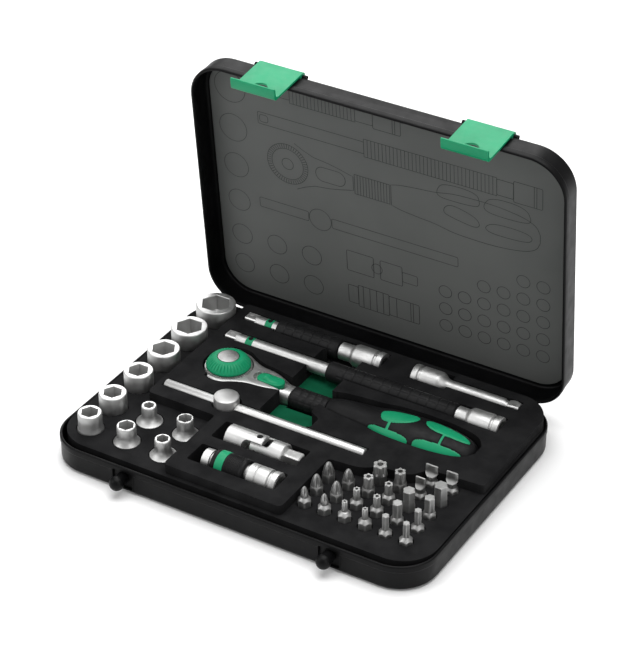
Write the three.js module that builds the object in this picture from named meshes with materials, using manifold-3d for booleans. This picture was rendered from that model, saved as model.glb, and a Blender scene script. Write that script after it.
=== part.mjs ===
// Quarter-inch socket wrench set in a flat steel case.
// Millimetres, +Z up. Origin: centre of the base's underside. X runs along the
// long front edge, Y from the front (latches) to the back (hinge).
// The lid stands open on its hinge, and every tool lies in the foam tray.

import * as THREE from 'three';
import { mergeVertices } from 'three/addons/utils/BufferGeometryUtils.js';
import Module from 'manifold-3d';

const wasm = await Module();
wasm.setup();

// ---------- driving dimensions: case ----------
const caseLength = 213;
const caseWidth = 152;
const cornerRadius = 20.8;
const baseHeight = 14.3;
const closedHeight = 28.2;
const sheet = 0.8;
const sheetBend = 2.2;
const hemThickness = 1.6;
const hemHeight = 2.2;
const rimGap = 0.3;
const seatGap = 0.3;
const lidOpenAngle = 84;

// hinge: rolled knuckles on one long pin, sunk into the rear wall
const hingeSpan = 150;
const knuckleCount = 5;
const knuckleRadius = 1.45;
const hingeDrop = 1.5;
const hingeBehindWall = 0.1;
const pinRadius = 0.55;
const knuckleGap = 0.3;

// lid panel
const panelInset = 3.9;
const panelThickness = 0.8;

// latches and the studs that they snap on
const latchX = 59;
const latchWidth = 25.5;
const latchThickness = 1.2;
const latchGap = 0.3;
const latchBarrelRadius = 2.3;
const latchBarrelDrop = 0;
const latchLipReach = 5.5;
const latchFootGap = 1.4;
const latchHoleRadius = 4.2;
const stubRadius = 0.8;
const stubLength = 2.2;
const lugLength = 2.2;
const studHeight = 7.6;
const studRadius = 3.85;
const studNeckRadius = 3.3;
const studReach = 8.4;
const recessWidth = 11.6;
const recessBottom = 2.2;
const recessTop = 11.8;
const recessDepth = 1.4;

// foam tray: a lower layer, an upper layer, and a raised platform on top
const traySideGap = 1.1;
const trayCornerInset = 1.8;
const trayCornerWall = 0.45;
const trayFrontGap = 4.2;
const trayRearGap = 1.2;
const lowerLayerTop = 10.7;
const shelfTop = 14.5;
const platformTop = 20;
const platformLeft = 80;
const platformSideInset = 0.7;
const platformFrontInset = 2;
const blockLeft = 39;
const blockRight = 28.3;
const shelfBack = -22;
const pocketGap = 0.4;

// finger recess under the ratchet's neck and the extensions
const recessLeft = -23;
const recessRight = 0.5;
const recessWideRight = 7;
const recessFront = -6.4;
const recessWideBack = 2.5;
const recessBack = 58;

// sockets
const socketLength = 23;
const socketBaseRadius = 6.9;
const socketShoulder = 4;
const socketShoulderStart = 13.6;
const driveSquare = 6.35;
const driveDepth = 9;
const hexDepth = 10;
const socketColumn = -91.2;
const smallColumns = [-69.1, -47.4];
const frontSocketRow = -56.5;
const secondSocketRow = -36.4;

// bits
const bitLength = 24;
const keyBitLength = 24.6;
const bitHex = 6.35;
const bitHoleRadius = 4.1;
const bitFirstX = 33.2;
const bitPitchX = 11.15;
const bitFirstY = -55;
const bitPitchY = 11.4;
const bitHexTop = 16.4;
const keyHexTop = 14.6;
const collarHeight = 1.6;
const bitNeckRadius = 1.9;
const slotBladeThickness = 1;
const slotBladeLength = 4;
const lobeBoreDepth = 3;

// ratchet, lying along X with its drive square down
const ratchetY = 20;
const ratchetZ = 13.1;
const headX = -57.8;
const headRadius = 12.8;
const headClearance = 0.4;
const headTop = 6.3;
const dialRadius = 12.3;
const dialTopRadius = 6.4;
const dialHeight = 5.1;
const dialSeat = 0.4;
const bossRadius = 3.9;
const buttonRadius = 5.5;
const buttonStem = 1.3;
const forkTop = 6.2;
const forkBottom = -3.6;
const pivotRadius = 1.5;
const pivotDepth = 1.6;
const neckRadius = 4.4;
const coreRadius = 3.6;
const sleeveRadius = 6;
const sleeveStart = -18.2;
const sleeveEnd = 2.6;
const handleStart = 3.2;
const handleEnd = 87;
const handleHalfWidth = 12.4;
const handleHalfHeight = 11.2;
const handleBore = 24;
const switchX = -32;
const switchLength = 15.6;
const switchWidth = 7.6;
const switchTravel = 1.6;

// sliding T-bar
const tbarY = -9.8;
const tbarZ = 18.2;
const tbarLeft = -76.8;
const tbarRight = 40.9;
const tbarRadius = 3;
const tbarHeadX = -40;
const tbarHeadRadius = 6.6;
const tbarHeadAbove = 6.2;
const tbarHeadBelow = 6.2;
const tbarHeadPlay = 1.2;
const squareLength = 7.5;

// extensions with a free-turning sleeve, and a wobble extension
const extensionZ = 17.6;
const longExtensionY = 44.2;
const shortExtensionY = 63.8;
const extensionLeft = -74;
const extensionSocketRadius = 6.2;
const extensionSocketLength = 15.8;
const extensionShaftRadius = 3.7;
const extensionSleeveRadius = 5.4;
const longExtensionRight = 88.2;
const longSleeve = [-11.6, 63.2];
const shortExtensionRight = 10;
const shortSleeve = [-54, -16];
const wobbleLeft = 28;
const wobbleRight = 88.6;
const wobbleHeadLength = 15;
const wobbleTaper = 5.5;
const wobbleShaftRadius = 3.5;

// universal joint
const jointX = -7;
const jointY = -30.5;
const jointZ = 17.8;
const jointLeft = -25;
const jointRight = 17;
const jointRadius = 6.5;
const jointDriveRadius = 6.2;
const jointEarWidth = 6;
const jointCube = 6.2;
const jointEarReach = 3.2;
const jointWeb = 7.6;
const jointSquareLength = 9;
const jointPinRadius = 1.35;

// bit adapter with a sliding quick-release sleeve
const adapterY = -52.3;
const adapterZ = 18;
const adapterLeft = -25;
const adapterRight = 17.5;
const adapterRadius = 6.2;
const adapterCore = 4.6;
const adapterSleeveRadius = 7;
const adapterSleeve = [-19, -0.5];
const adapterSleeveTravel = 1.5;

const lyingPocketLeft = -31.5;
const fit = 0.3;

// facets round a full turn
const wideFacets = 24;
const roundFacets = 16;
const smallFacets = 10;
const ballRings = 5;

// walls and seats shared by the pieces
const frontWall = -caseWidth / 2;
const rearWall = caseWidth / 2;
const standingSeat = sheet + seatGap;
const trayX = caseLength / 2 - sheet - traySideGap;
const trayFront = frontWall + trayFrontGap + sheet;
const trayBack = rearWall - sheet - trayRearGap;
const trayCornerRadius = cornerRadius - trayCornerInset;

// ---------- materials ----------
const colours = {
  blackPaint: [0x141517, 0.45, 0.3],
  foam: [0x26272a, 0.95, 0],
  greyPanel: [0x4b4c4e, 0.6, 0.1],
  greenPlastic: [0x0f9d63, 0.45, 0],
  blackPlastic: [0x1a1a1b, 0.5, 0],
  blackSteel: [0x1c1c1d, 0.55, 0.6],
  satinChrome: [0xc9c9c7, 0.35, 0.9],
  greySteel: [0x6d6d6b, 0.45, 0.8],
};

function material(name) {
  const [color, roughness, metalness] = colours[name];
  return new THREE.MeshStandardMaterial({ color, roughness, metalness });
}

// ---------- solids ----------
function signedVolume(geometry) {
  const p = geometry.getAttribute('position');
  const index = geometry.getIndex().array;
  const [a, b, c] = [new THREE.Vector3(), new THREE.Vector3(), new THREE.Vector3()];
  let sum = 0;
  for (let i = 0; i < index.length; i += 3) {
    a.fromBufferAttribute(p, index[i]);
    b.fromBufferAttribute(p, index[i + 1]);
    c.fromBufferAttribute(p, index[i + 2]);
    sum += a.dot(b.cross(c));
  }
  return sum;
}

// a closed three.js geometry as a manifold solid with its faces outward
function solid(geometry) {
  const bare = geometry.clone();
  bare.deleteAttribute('normal');
  bare.deleteAttribute('uv');
  const merged = mergeVertices(bare, 1e-4);
  const triVerts = new Uint32Array(merged.getIndex().array);
  if (signedVolume(merged) < 0) {
    for (let i = 0; i < triVerts.length; i += 3) {
      [triVerts[i], triVerts[i + 1]] = [triVerts[i + 1], triVerts[i]];
    }
  }
  const vertProperties = new Float32Array(merged.getAttribute('position').array);
  return new wasm.Manifold(new wasm.Mesh({ numProp: 3, vertProperties, triVerts }));
}

function union(solids) {
  return solids.reduce((sum, next) => sum.add(next));
}

function cut(body, tools) {
  return tools.reduce((left, tool) => left.subtract(tool), body);
}

function mesh(name, body, look) {
  const { vertProperties, triVerts, numProp } = body.getMesh();
  const geometry = new THREE.BufferGeometry();
  const positions = new Float32Array((vertProperties.length / numProp) * 3);
  for (let i = 0; i < positions.length / 3; i++) {
    positions.set(vertProperties.subarray(i * numProp, i * numProp + 3), i * 3);
  }
  geometry.setAttribute('position', new THREE.BufferAttribute(positions, 3));
  geometry.setIndex(new THREE.BufferAttribute(new Uint32Array(triVerts), 1));
  geometry.computeVertexNormals();
  const result = new THREE.Mesh(geometry, material(look));
  result.name = name;
  return result;
}

function box(x, y, z) {
  const g = new THREE.BoxGeometry(x[1] - x[0], y[1] - y[0], z[1] - z[0]);
  g.translate((x[0] + x[1]) / 2, (y[0] + y[1]) / 2, (z[0] + z[1]) / 2);
  return solid(g);
}

// profile: [radius, height] pairs; the axis is Z, X or Y through the given point
function turned(profile, axis, at = [0, 0, 0], segments = roundFacets) {
  const points = profile.map(([r, h]) => new THREE.Vector2(r, h));
  const g = new THREE.LatheGeometry(points, segments);
  if (axis === 'z') {
    g.rotateX(Math.PI / 2);
  }
  if (axis === 'x') {
    g.rotateZ(-Math.PI / 2);
  }
  g.translate(at[0], at[1], at[2]);
  return solid(g);
}

function rod(radius, axis, from, to, at = [0, 0, 0], segments = roundFacets) {
  return turned([[0, from], [radius, from], [radius, to], [0, to]], axis, at, segments);
}

function prism(points, bottom, top) {
  const shape = new THREE.Shape(points.map(([x, y]) => new THREE.Vector2(x, y)));
  const g = new THREE.ExtrudeGeometry(shape, { depth: top - bottom, bevelEnabled: false });
  g.translate(0, 0, bottom);
  return solid(g);
}

function prismAlongX(points, from, to) {
  const shape = new THREE.Shape(points.map(([x, y]) => new THREE.Vector2(x, y)));
  const g = new THREE.ExtrudeGeometry(shape, { depth: to - from, bevelEnabled: false });
  g.translate(0, 0, from);
  g.rotateY(Math.PI / 2);
  return solid(g);
}

// regular hexagon across flats, with a corner on the X axis
function hexagon(flats) {
  const corner = flats / Math.sqrt(3);
  const points = [];
  for (let i = 0; i < 6; i++) {
    points.push([corner * Math.cos((i * Math.PI) / 3), corner * Math.sin((i * Math.PI) / 3)]);
  }
  return points;
}

function roundedRectangle(left, right, front, back, radius, steps = 5) {
  const corners = [
    [right - radius, back - radius, 0],
    [left + radius, back - radius, 1],
    [left + radius, front + radius, 2],
    [right - radius, front + radius, 3],
  ];
  const points = [];
  for (const [x, y, quarter] of corners) {
    for (let i = 0; i <= steps; i++) {
      const angle = ((quarter + i / steps) * Math.PI) / 2;
      points.push([x + radius * Math.cos(angle), y + radius * Math.sin(angle)]);
    }
  }
  return points;
}

// closed skin through rings of equal point count; flat caps on the first and last
function loft(rings) {
  const count = rings[0].length;
  const positions = rings.flat(2);
  const index = [];
  for (let r = 0; r + 1 < rings.length; r++) {
    for (let i = 0; i < count; i++) {
      const [a, b] = [r * count + i, r * count + ((i + 1) % count)];
      index.push(a, b, b + count, a, b + count, a + count);
    }
  }
  const last = (rings.length - 1) * count;
  for (let i = 1; i + 1 < count; i++) {
    index.push(0, i + 1, i);
    index.push(last, last + i, last + i + 1);
  }
  const g = new THREE.BufferGeometry();
  g.setAttribute('position', new THREE.BufferAttribute(new Float32Array(positions), 3));
  g.setIndex(index);
  return solid(g);
}

// pressed sheet tray or cover: [inset from the case outline, height] pairs
function pressing(path) {
  const rings = path.map(([inset, z]) => {
    const [x, y] = [caseLength / 2 - inset, caseWidth / 2 - inset];
    return roundedRectangle(-x, x, -y, y, cornerRadius - inset).map(([px, py]) => [px, py, z]);
  });
  return loft(rings);
}

// ---------- case ----------
const hingeY = rearWall + hingeBehindWall;
const hingeZ = baseHeight - hingeDrop;
const lidRim = baseHeight + rimGap;
const bendMid = sheetBend * (1 - Math.SQRT1_2);
const innerBend = sheetBend - sheet;
const innerBendMid = sheet + innerBend * (1 - Math.SQRT1_2);
const knucklePitch = hingeSpan / knuckleCount;

function knuckleRange(i, gap) {
  const start = -hingeSpan / 2 + i * knucklePitch;
  return [start + gap / 2, start + knucklePitch - gap / 2];
}

function knuckles(owner) {
  const parts = [];
  for (let i = 0; i < knuckleCount; i++) {
    if (i % 2 === owner) {
      const [from, to] = knuckleRange(i, knuckleGap);
      parts.push(rod(knuckleRadius, 'x', from, to, [0, hingeY, hingeZ], smallFacets));
    }
  }
  return parts;
}

function knuckleBore() {
  const reach = hingeSpan / 2 + 1;
  return rod(pinRadius + fit, 'x', -reach, reach, [0, hingeY, hingeZ], smallFacets);
}

function makeBaseShell() {
  const tub = pressing([
    [sheetBend, 0],
    [bendMid, bendMid],
    [0, sheetBend],
    [0, baseHeight],
    [hemThickness, baseHeight],
    [hemThickness, baseHeight - hemHeight],
    [sheet, baseHeight - hemHeight - sheet],
    [sheet, sheetBend],
    [innerBendMid, innerBendMid],
    [sheetBend, sheet],
  ]);
  const added = [...knuckles(0)];
  const removed = [knuckleBore()];
  for (let i = 1; i < knuckleCount; i += 2) {
    const [from, to] = knuckleRange(i, -knuckleGap);
    const below = hingeZ - knuckleRadius - knuckleGap;
    const notch = [rearWall - hemThickness - 1, rearWall + 1];
    removed.push(box([from, to], notch, [below, baseHeight + 1]));
  }
  for (const x of [-latchX, latchX]) {
    const half = recessWidth / 2;
    const depth = frontWall + recessDepth;
    const pad = [[x - half - sheet, x + half + sheet], [frontWall + sheet / 2, depth + sheet]];
    added.push(box(pad[0], pad[1], [recessBottom - sheet, recessTop + sheet / 2]));
    removed.push(box([x - half, x + half], [frontWall - 1, depth], [recessBottom, recessTop]));
  }
  let shell = cut(union([tub, ...added]), removed);
  for (const x of [-latchX, latchX]) {
    shell = shell.add(makeStud(x));
  }
  return mesh('base_shell', shell, 'blackPaint');
}

// ball-ended stud standing out of its recess towards the front
function makeStud(x) {
  const root = -recessDepth - sheet / 2;
  const centre = studReach - studRadius;
  const startAngle = -Math.acos(studNeckRadius / studRadius);
  const profile = [[0, root], [studNeckRadius, root]];
  for (let i = 0; i <= ballRings; i++) {
    const angle = startAngle + (i / ballRings) * (Math.PI / 2 - startAngle);
    const radius = i === ballRings ? 0 : studRadius * Math.cos(angle);
    profile.push([radius, centre + studRadius * Math.sin(angle)]);
  }
  const g = new THREE.LatheGeometry(profile.map(([r, h]) => new THREE.Vector2(r, h)), roundFacets);
  g.rotateZ(Math.PI);
  g.translate(x, frontWall, studHeight);
  return solid(g);
}

const latchAxisY = frontWall - latchGap - latchThickness + latchBarrelRadius;
const latchAxisZ = closedHeight - latchBarrelDrop;

function makeLidShell() {
  const cover = pressing([
    [sheetBend, closedHeight - sheet],
    [innerBendMid, closedHeight - innerBendMid],
    [sheet, closedHeight - sheetBend],
    [sheet, lidRim + hemHeight + sheet],
    [hemThickness, lidRim + hemHeight],
    [hemThickness, lidRim],
    [0, lidRim],
    [0, closedHeight - sheetBend],
    [bendMid, closedHeight - bendMid],
    [sheetBend, closedHeight],
  ]);
  const webs = [];
  for (let i = 1; i < knuckleCount; i += 2) {
    const [from, to] = knuckleRange(i, knuckleGap);
    webs.push(box([from, to], [rearWall - sheet, rearWall], [hingeZ, lidRim + sheet]));
  }
  const body = cut(union([cover, ...webs, ...knuckles(1)]), [knuckleBore()]);
  const half = latchWidth / 2 + latchGap;
  const barrel = latchBarrelRadius + latchGap;
  const lugs = [];
  const notches = [];
  const stubs = [];
  for (const x of [-latchX, latchX]) {
    notches.push(box(
      [x - half, x + half],
      [frontWall - 1, latchAxisY + barrel],
      [latchAxisZ - barrel, closedHeight + 1],
    ));
    for (const side of [-1, 1]) {
      const edge = x + side * half;
      const out = edge + side * lugLength;
      const tip = edge - side * stubLength;
      const ear = [Math.min(edge, out), Math.max(edge, out)];
      const axis = [0, latchAxisY, latchAxisZ];
      lugs.push(rod(stubRadius + sheet / 2, 'x', ear[0], ear[1], axis, smallFacets));
      const [from, to] = [Math.min(out - side, tip), Math.max(out - side, tip)];
      stubs.push(rod(stubRadius, 'x', from, to, axis, smallFacets));
    }
  }
  const lid = cut(union([body, ...lugs]), notches);
  return mesh('lid_shell', union([lid, ...stubs]), 'blackPaint');
}

function makeLidPanel() {
  const [x, y] = [caseLength / 2 - panelInset, caseWidth / 2 - panelInset];
  const outline = roundedRectangle(-x, x, -y, y, cornerRadius - panelInset);
  const top = closedHeight - sheet - seatGap;
  return mesh('lid_panel', prism(outline, top - panelThickness, top), 'greyPanel');
}

function makeHingePin() {
  const half = hingeSpan / 2;
  return mesh('hinge_pin', rod(pinRadius, 'x', -half, half, [0, hingeY, hingeZ], smallFacets), 'greySteel');
}

// strap with a barrel on the lid's front edge, a hole for the stud and a pull lip
function makeLatch(name, x) {
  const outer = frontWall - latchGap - latchThickness;
  const inner = frontWall - latchGap;
  const span = [x - latchWidth / 2, x + latchWidth / 2];
  const barrel = rod(latchBarrelRadius, 'x', span[0], span[1], [0, latchAxisY, latchAxisZ]);
  const strap = box(span, [outer, inner], [latchFootGap, latchAxisZ]);
  const lipTop = latchFootGap + latchThickness;
  const lip = box(span, [outer - latchLipReach, inner], [latchFootGap, lipTop]);
  const hole = rod(latchHoleRadius, 'y', outer - 1, inner + 1, [x, 0, studHeight]);
  const bores = [-1, 1].map((side) => {
    const end = x + (side * latchWidth) / 2;
    const ends = [end + side, end - side * stubLength];
    const [from, to] = [Math.min(...ends), Math.max(...ends)];
    return rod(stubRadius + fit, 'x', from, to, [0, latchAxisY, latchAxisZ], smallFacets);
  });
  return mesh(name, cut(union([barrel, strap, lip]), [hole, ...bores]), 'greenPlastic');
}

// ---------- sockets ----------
// keeps a round pocket inside the tray's rounded corner, sliding it towards the corner's centre
function insideCorner([name, flats, mouth, x, y]) {
  const side = [Math.sign(x), Math.sign(y)];
  const centre = [
    side[0] * (trayX - trayCornerRadius),
    (y > 0 ? trayBack : trayFront) - side[1] * trayCornerRadius,
  ];
  const [dx, dy] = [x - centre[0], y - centre[1]];
  const reach = trayCornerRadius - socketWidest(mouth) - pocketGap - trayCornerWall;
  const distance = Math.hypot(dx, dy);
  if (dx * side[0] < 0 || dy * side[1] < 0 || distance <= reach) {
    return [name, flats, mouth, x, y];
  }
  const share = reach / distance;
  return [name, flats, mouth, centre[0] + dx * share, centre[1] + dy * share];
}

function socketWidest(mouth) {
  return Math.max(mouth / 2, socketBaseRadius);
}

// size: name, hexagon across flats, mouth diameter, x, y
const sockets = [
  ['socket_9_16', 14.29, 21.4, socketColumn, 59.9],
  ['socket_1_2', 12.7, 19.3, socketColumn, 34.1],
  ['socket_7_16', 11.11, 17.2, socketColumn, 9.8],
  ['socket_3_8', 9.53, 15.4, socketColumn, -13.4],
  ['socket_11_32', 8.73, 14.4, socketColumn, secondSocketRow],
  ['socket_5_16', 7.94, 12.3, socketColumn, frontSocketRow],
  ['socket_9_32', 7.14, 9.8, smallColumns[0], frontSocketRow],
  ['socket_1_4', 6.35, 8.5, smallColumns[1], secondSocketRow],
  ['socket_7_32', 5.56, 8.2, smallColumns[1], frontSocketRow],
  ['socket_3_16', 4.76, 7.8, smallColumns[0], secondSocketRow],
].map(insideCorner);

function makeSocket([name, flats, mouth, x, y]) {
  const widest = socketWidest(mouth);
  const profile = [[0, 0], [widest, 0]];
  if (mouth / 2 < widest) {
    profile.push([widest, socketShoulderStart], [mouth / 2, socketShoulderStart + socketShoulder]);
  }
  profile.push([mouth / 2, socketLength], [0, socketLength]);
  const facets = mouth / 2 < widest ? roundFacets : wideFacets;
  const outside = turned(profile, 'z', [0, 0, 0], facets);
  const hex = prism(hexagon(flats), socketLength - hexDepth, socketLength + 1);
  const half = driveSquare / 2;
  const square = box([-half, half], [-half, half], [-1, socketLength - hexDepth]);
  const result = mesh(name, cut(outside, [hex, square]), 'satinChrome');
  result.position.set(x, y, standingSeat);
  return result;
}

// ---------- bits ----------
// shape of the working end, its radius, and whether the collar sits low
function bitColumn(column, rows) {
  return rows.map(([shape, radius], row) => ({
    name: `bit_${shape}_${column + 1}${row + 1}`,
    shape,
    radius,
    low: column > 3,
    x: bitFirstX + column * bitPitchX,
    y: bitFirstY + row * bitPitchY,
  }));
}

const bits = [
  ...bitColumn(0, [['cross', 1.9], ['cross', 2.9], ['cross', 3.1]]),
  ...bitColumn(1, [['cross', 1.9], ['cross', 2.9], ['cross', 2.9]]),
  ...bitColumn(2, [['lobe', 1.5], ['lobe', 1.9], ['lobe', 2.7], ['lobe', 3.65]]),
  ...bitColumn(3, [['lobe', 1.6], ['lobe', 2.0], ['lobe', 2.2], ['lobe', 2.9]]),
  ...bitColumn(4, [['hex', 1.9], ['hex', 2.6], ['hex', 3.2], ['slot', 2.5], ['slot', 3.2]]),
  ...bitColumn(5, [['hex', 1.8], ['hex', 1.9], ['hex', 2.7], ['hex', 3.5], ['slot', 3.0]]),
];

function bitEnd(shape, radius, from, to) {
  if (shape === 'cross') {
    const tip = 0.3 * radius;
    const start = to - 2.2 * (radius - tip);
    const profile = [[0, from], [radius, from], [radius, start], [tip, to], [0, to]];
    return turned(profile, 'z', [0, 0, 0], smallFacets);
  }
  if (shape === 'slot') {
    return box([-radius, radius], [-slotBladeThickness / 2, slotBladeThickness / 2], [from, to]);
  }
  if (shape === 'hex') {
    return prism(hexagon(radius * 2 * Math.cos(Math.PI / 6)), from, to);
  }
  return rod(radius, 'z', from, to, [0, 0, 0], smallFacets);
}

// hexagonal shank that narrows through a collar to the working end
function bitShank(radius, hexTop) {
  const collar = Math.max(radius, bitNeckRadius) * 2 * Math.cos(Math.PI / 6);
  const ring = (flats, z) => hexagon(flats).map(([x, y]) => [x, y, z]);
  return loft([ring(bitHex, 0), ring(bitHex, hexTop), ring(collar, hexTop + collarHeight)]);
}

function makeBit(bit) {
  const length = bit.low ? keyBitLength : bitLength;
  const hexTop = bit.low ? keyHexTop : bitHexTop;
  let body = bitShank(Math.min(bit.radius, bitHex / 2), hexTop);
  if (bit.shape === 'slot') {
    body = body.add(rod(bitNeckRadius, 'z', hexTop, length - slotBladeLength, [0, 0, 0], smallFacets));
  }
  body = body.add(bitEnd(bit.shape, bit.radius, hexTop + collarHeight / 2, length));
  if (bit.shape === 'lobe') {
    body = body.subtract(rod(bit.radius * 0.4, 'z', length - lobeBoreDepth, length + 1, [0, 0, 0], 6));
  }
  const result = mesh(bit.name, body, 'greySteel');
  result.position.set(bit.x, bit.y, standingSeat);
  return result;
}

// ---------- ratchet (local origin on the tool's axis at x = 0) ----------
// half widths of the fork seen from above
const forkOutline = [
  [-62.5, 14.0], [-57.8, 15.0], [-53, 14.3], [-48, 11.5], [-42, 9.0],
  [-33, 7.8], [-26, 6.2], [-21, 4.8], [-18.8, 4.4],
];

function forkShape(grow) {
  const upper = forkOutline.map(([x, w]) => [x, w + grow]);
  upper[0][0] -= grow;
  upper[upper.length - 1][0] += grow;
  const lower = upper.map(([x, w]) => [x, -w]).reverse();
  return [...upper, ...lower].reverse();
}

function makeFork() {
  const arms = prism(forkShape(0), forkBottom, forkTop);
  const neck = rod(neckRadius, 'x', -24, sleeveStart - fit);
  const core = rod(coreRadius, 'x', -20, handleBore);
  const ring = rod(headRadius + headClearance, 'z', -20, 20, [headX, 0, 0], wideFacets);
  const slotHalf = switchLength / 2 + switchTravel + fit;
  const slotEnds = [switchX - slotHalf, switchX + slotHalf];
  const half = switchWidth / 2 + fit;
  const slot = prism(
    roundedRectangle(slotEnds[0], slotEnds[1], -half, half, half - 0.01, 5),
    forkTop - 2.8, forkTop + 1,
  );
  const stubs = [-1, 1].map((side) => {
    const start = headRadius - pivotDepth;
    const end = headRadius + headClearance + 0.6;
    const [from, to] = side > 0 ? [start, end] : [-end, -start];
    return rod(pivotRadius, 'y', from, to, [headX, 0, 0], smallFacets);
  });
  return mesh('ratchet_fork', union([cut(union([arms, neck, core]), [ring, slot]), ...stubs]), 'satinChrome');
}

function makeRatchetHead() {
  const rim = headRadius - 0.4;
  const bossTop = headTop + dialSeat + 1.7;
  const disc = turned([
    [0, -5.2], [9.5, -5.2], [headRadius - 1.2, -3.6], [headRadius, -2.6], [headRadius, 3],
    [rim, headTop], [bossRadius, headTop], [bossRadius, bossTop], [0, bossTop],
  ], 'z', [0, 0, 0], wideFacets);
  const half = driveSquare / 2;
  const square = box([-half, half], [-half, half], [-ratchetZ + standingSeat + 0.3, -4]);
  const stemBore = rod(buttonStem + fit, 'z', 0, bossTop + 1, [0, 0, 0], smallFacets);
  const pivots = [-1, 1].map((side) => {
    const start = headRadius - pivotDepth - fit;
    const end = headRadius + 1;
    const [from, to] = side > 0 ? [start, end] : [-end, -start];
    return rod(pivotRadius + fit, 'y', from, to, [0, 0, 0], smallFacets);
  });
  const result = mesh('ratchet_head', cut(disc.add(square), [stemBore, ...pivots]), 'satinChrome');
  result.position.set(headX, 0, 0);
  return result;
}

// fluted direction dial: a cone with shallow grooves, bored for the boss and button
function makeDial() {
  const bottom = headTop + dialSeat;
  const top = bottom + dialHeight;
  const wall = 0.8;
  const outside = turned([
    [bossRadius + fit, bottom], [dialRadius, bottom], [dialRadius, bottom + wall],
    [dialTopRadius, top], [buttonRadius + fit, top], [buttonRadius + fit, bottom + 2.1],
    [bossRadius + fit, bottom + 2.1], [bossRadius + fit, bottom],
  ], 'z', [0, 0, 0], wideFacets);
  const result = mesh('ratchet_dial', outside, 'greenPlastic');
  result.position.set(headX, 0, 0);
  return result;
}

function makeButton() {
  const bottom = headTop + dialSeat + 3.4;
  const top = headTop + dialSeat + dialHeight + 0.9;
  const cap = turned([
    [0, bottom - 6], [buttonStem, bottom - 6], [buttonStem, bottom], [buttonRadius, bottom],
    [buttonRadius, top - 0.9], [buttonRadius * 0.7, top - 0.2], [0, top],
  ], 'z');
  const result = mesh('ratchet_button', cap, 'satinChrome');
  result.position.set(headX, 0, 0);
  return result;
}

function makeSwitch() {
  const half = switchWidth / 2;
  const end = switchLength / 2;
  const floor = forkTop - 2.8 + fit;
  const plate = prism(roundedRectangle(-end, end, -half, half, half - 0.01, 5), floor, forkTop + 0.3);
  const thumb = prism(roundedRectangle(-end + 1, end - 3, -half + 0.7, half - 0.7, 2.2, 3), forkTop, forkTop + 1.5);
  const result = mesh('ratchet_switch', plate.add(thumb), 'greenPlastic');
  result.position.set(switchX, 0, 0);
  return result;
}

function makeRatchetSleeve() {
  const inner = coreRadius + fit;
  const tube = turned([
    [inner, sleeveStart], [sleeveRadius - 0.6, sleeveStart], [sleeveRadius, sleeveStart + 0.8],
    [sleeveRadius, sleeveEnd - 0.8], [sleeveRadius - 0.6, sleeveEnd], [inner, sleeveEnd], [inner, sleeveStart],
  ], 'x');
  return mesh('ratchet_sleeve', tube, 'blackSteel');
}

// swelling handle: share of the length, share of the full half width
const handleStations = [
  [0, 0.5], [0.06, 0.61], [0.18, 0.71], [0.3, 0.79], [0.42, 0.95], [0.54, 1],
  [0.68, 1], [0.8, 0.93], [0.9, 0.8], [0.96, 0.62], [0.99, 0.4], [1, 0.2],
];

function handleHalf(share) {
  const slender = Math.min(1, Math.max(0, (share - 0.5) / 0.5));
  const width = handleHalfWidth * share;
  const height = width * (1 - slender * (1 - handleHalfHeight / handleHalfWidth));
  return [width, height];
}

function makeHandle() {
  const segments = roundFacets;
  const rings = handleStations.map(([along, share]) => {
    const x = handleStart + along * (handleEnd - handleStart);
    const [width, height] = handleHalf(share);
    return Array.from({ length: segments }, (_, i) => {
      const angle = (2 * Math.PI * i) / segments;
      return [x, width * Math.cos(angle), height * Math.sin(angle)];
    });
  });
  const bore = rod(coreRadius + fit, 'x', handleStart - 1, handleBore + fit);
  return mesh('ratchet_handle', loft(rings).subtract(bore), 'blackPlastic');
}

// ---------- T-bar ----------
function makeTbarRod() {
  const edge = 0.5;
  const profile = [
    [0, tbarLeft], [tbarRadius - edge, tbarLeft], [tbarRadius, tbarLeft + edge],
    [tbarRadius, tbarRight - edge], [tbarRadius - edge, tbarRight], [0, tbarRight],
  ];
  return mesh('tbar_rod', turned(profile, 'x'), 'satinChrome');
}

function makeTbarHead() {
  const edge = 0.6;
  const barrel = turned([
    [0, -tbarHeadBelow], [tbarHeadRadius - edge, -tbarHeadBelow], [tbarHeadRadius, -tbarHeadBelow + edge],
    [tbarHeadRadius, tbarHeadAbove - edge], [tbarHeadRadius - edge, tbarHeadAbove], [0, tbarHeadAbove],
  ], 'z');
  const half = driveSquare / 2;
  const square = box([-half, half], [-half, half], [-tbarHeadBelow - squareLength, -tbarHeadBelow + 1]);
  const bore = rod(tbarRadius + fit, 'x', -20, 20);
  const result = mesh('tbar_head', cut(barrel.add(square), [bore]), 'satinChrome');
  result.position.set(tbarHeadX, 0, 0);
  return result;
}

// ---------- extensions ----------
function squareTip(left, length) {
  const half = driveSquare / 2 - 0.1;
  return box([left, left + length], [-half, half], [-half, half]);
}

function squareSocket(right) {
  const half = driveSquare / 2;
  return box([right - driveDepth, right + 1], [-half, half], [-half, half]);
}

function makeExtension(name, right, sleeve) {
  const start = right - extensionSocketLength;
  const tip = 6;
  const r = extensionSocketRadius;
  const shaft = turned([
    [0, extensionLeft + tip - 1], [extensionShaftRadius, extensionLeft + tip],
    [extensionShaftRadius, sleeve[1] + fit], [r - 1.5, sleeve[1] + fit + 0.4], [r - 1.5, start - 0.8],
    [r, start], [r, right - 5], [r - 0.7, right - 4.6], [r - 0.7, right - 3.6], [r, right - 3.2],
    [r, right - 0.5], [r - 0.5, right], [0, right],
  ], 'x');
  const body = cut(shaft.add(squareTip(extensionLeft, tip + 1)), [squareSocket(right)]);
  return mesh(name, body, 'satinChrome');
}

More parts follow.
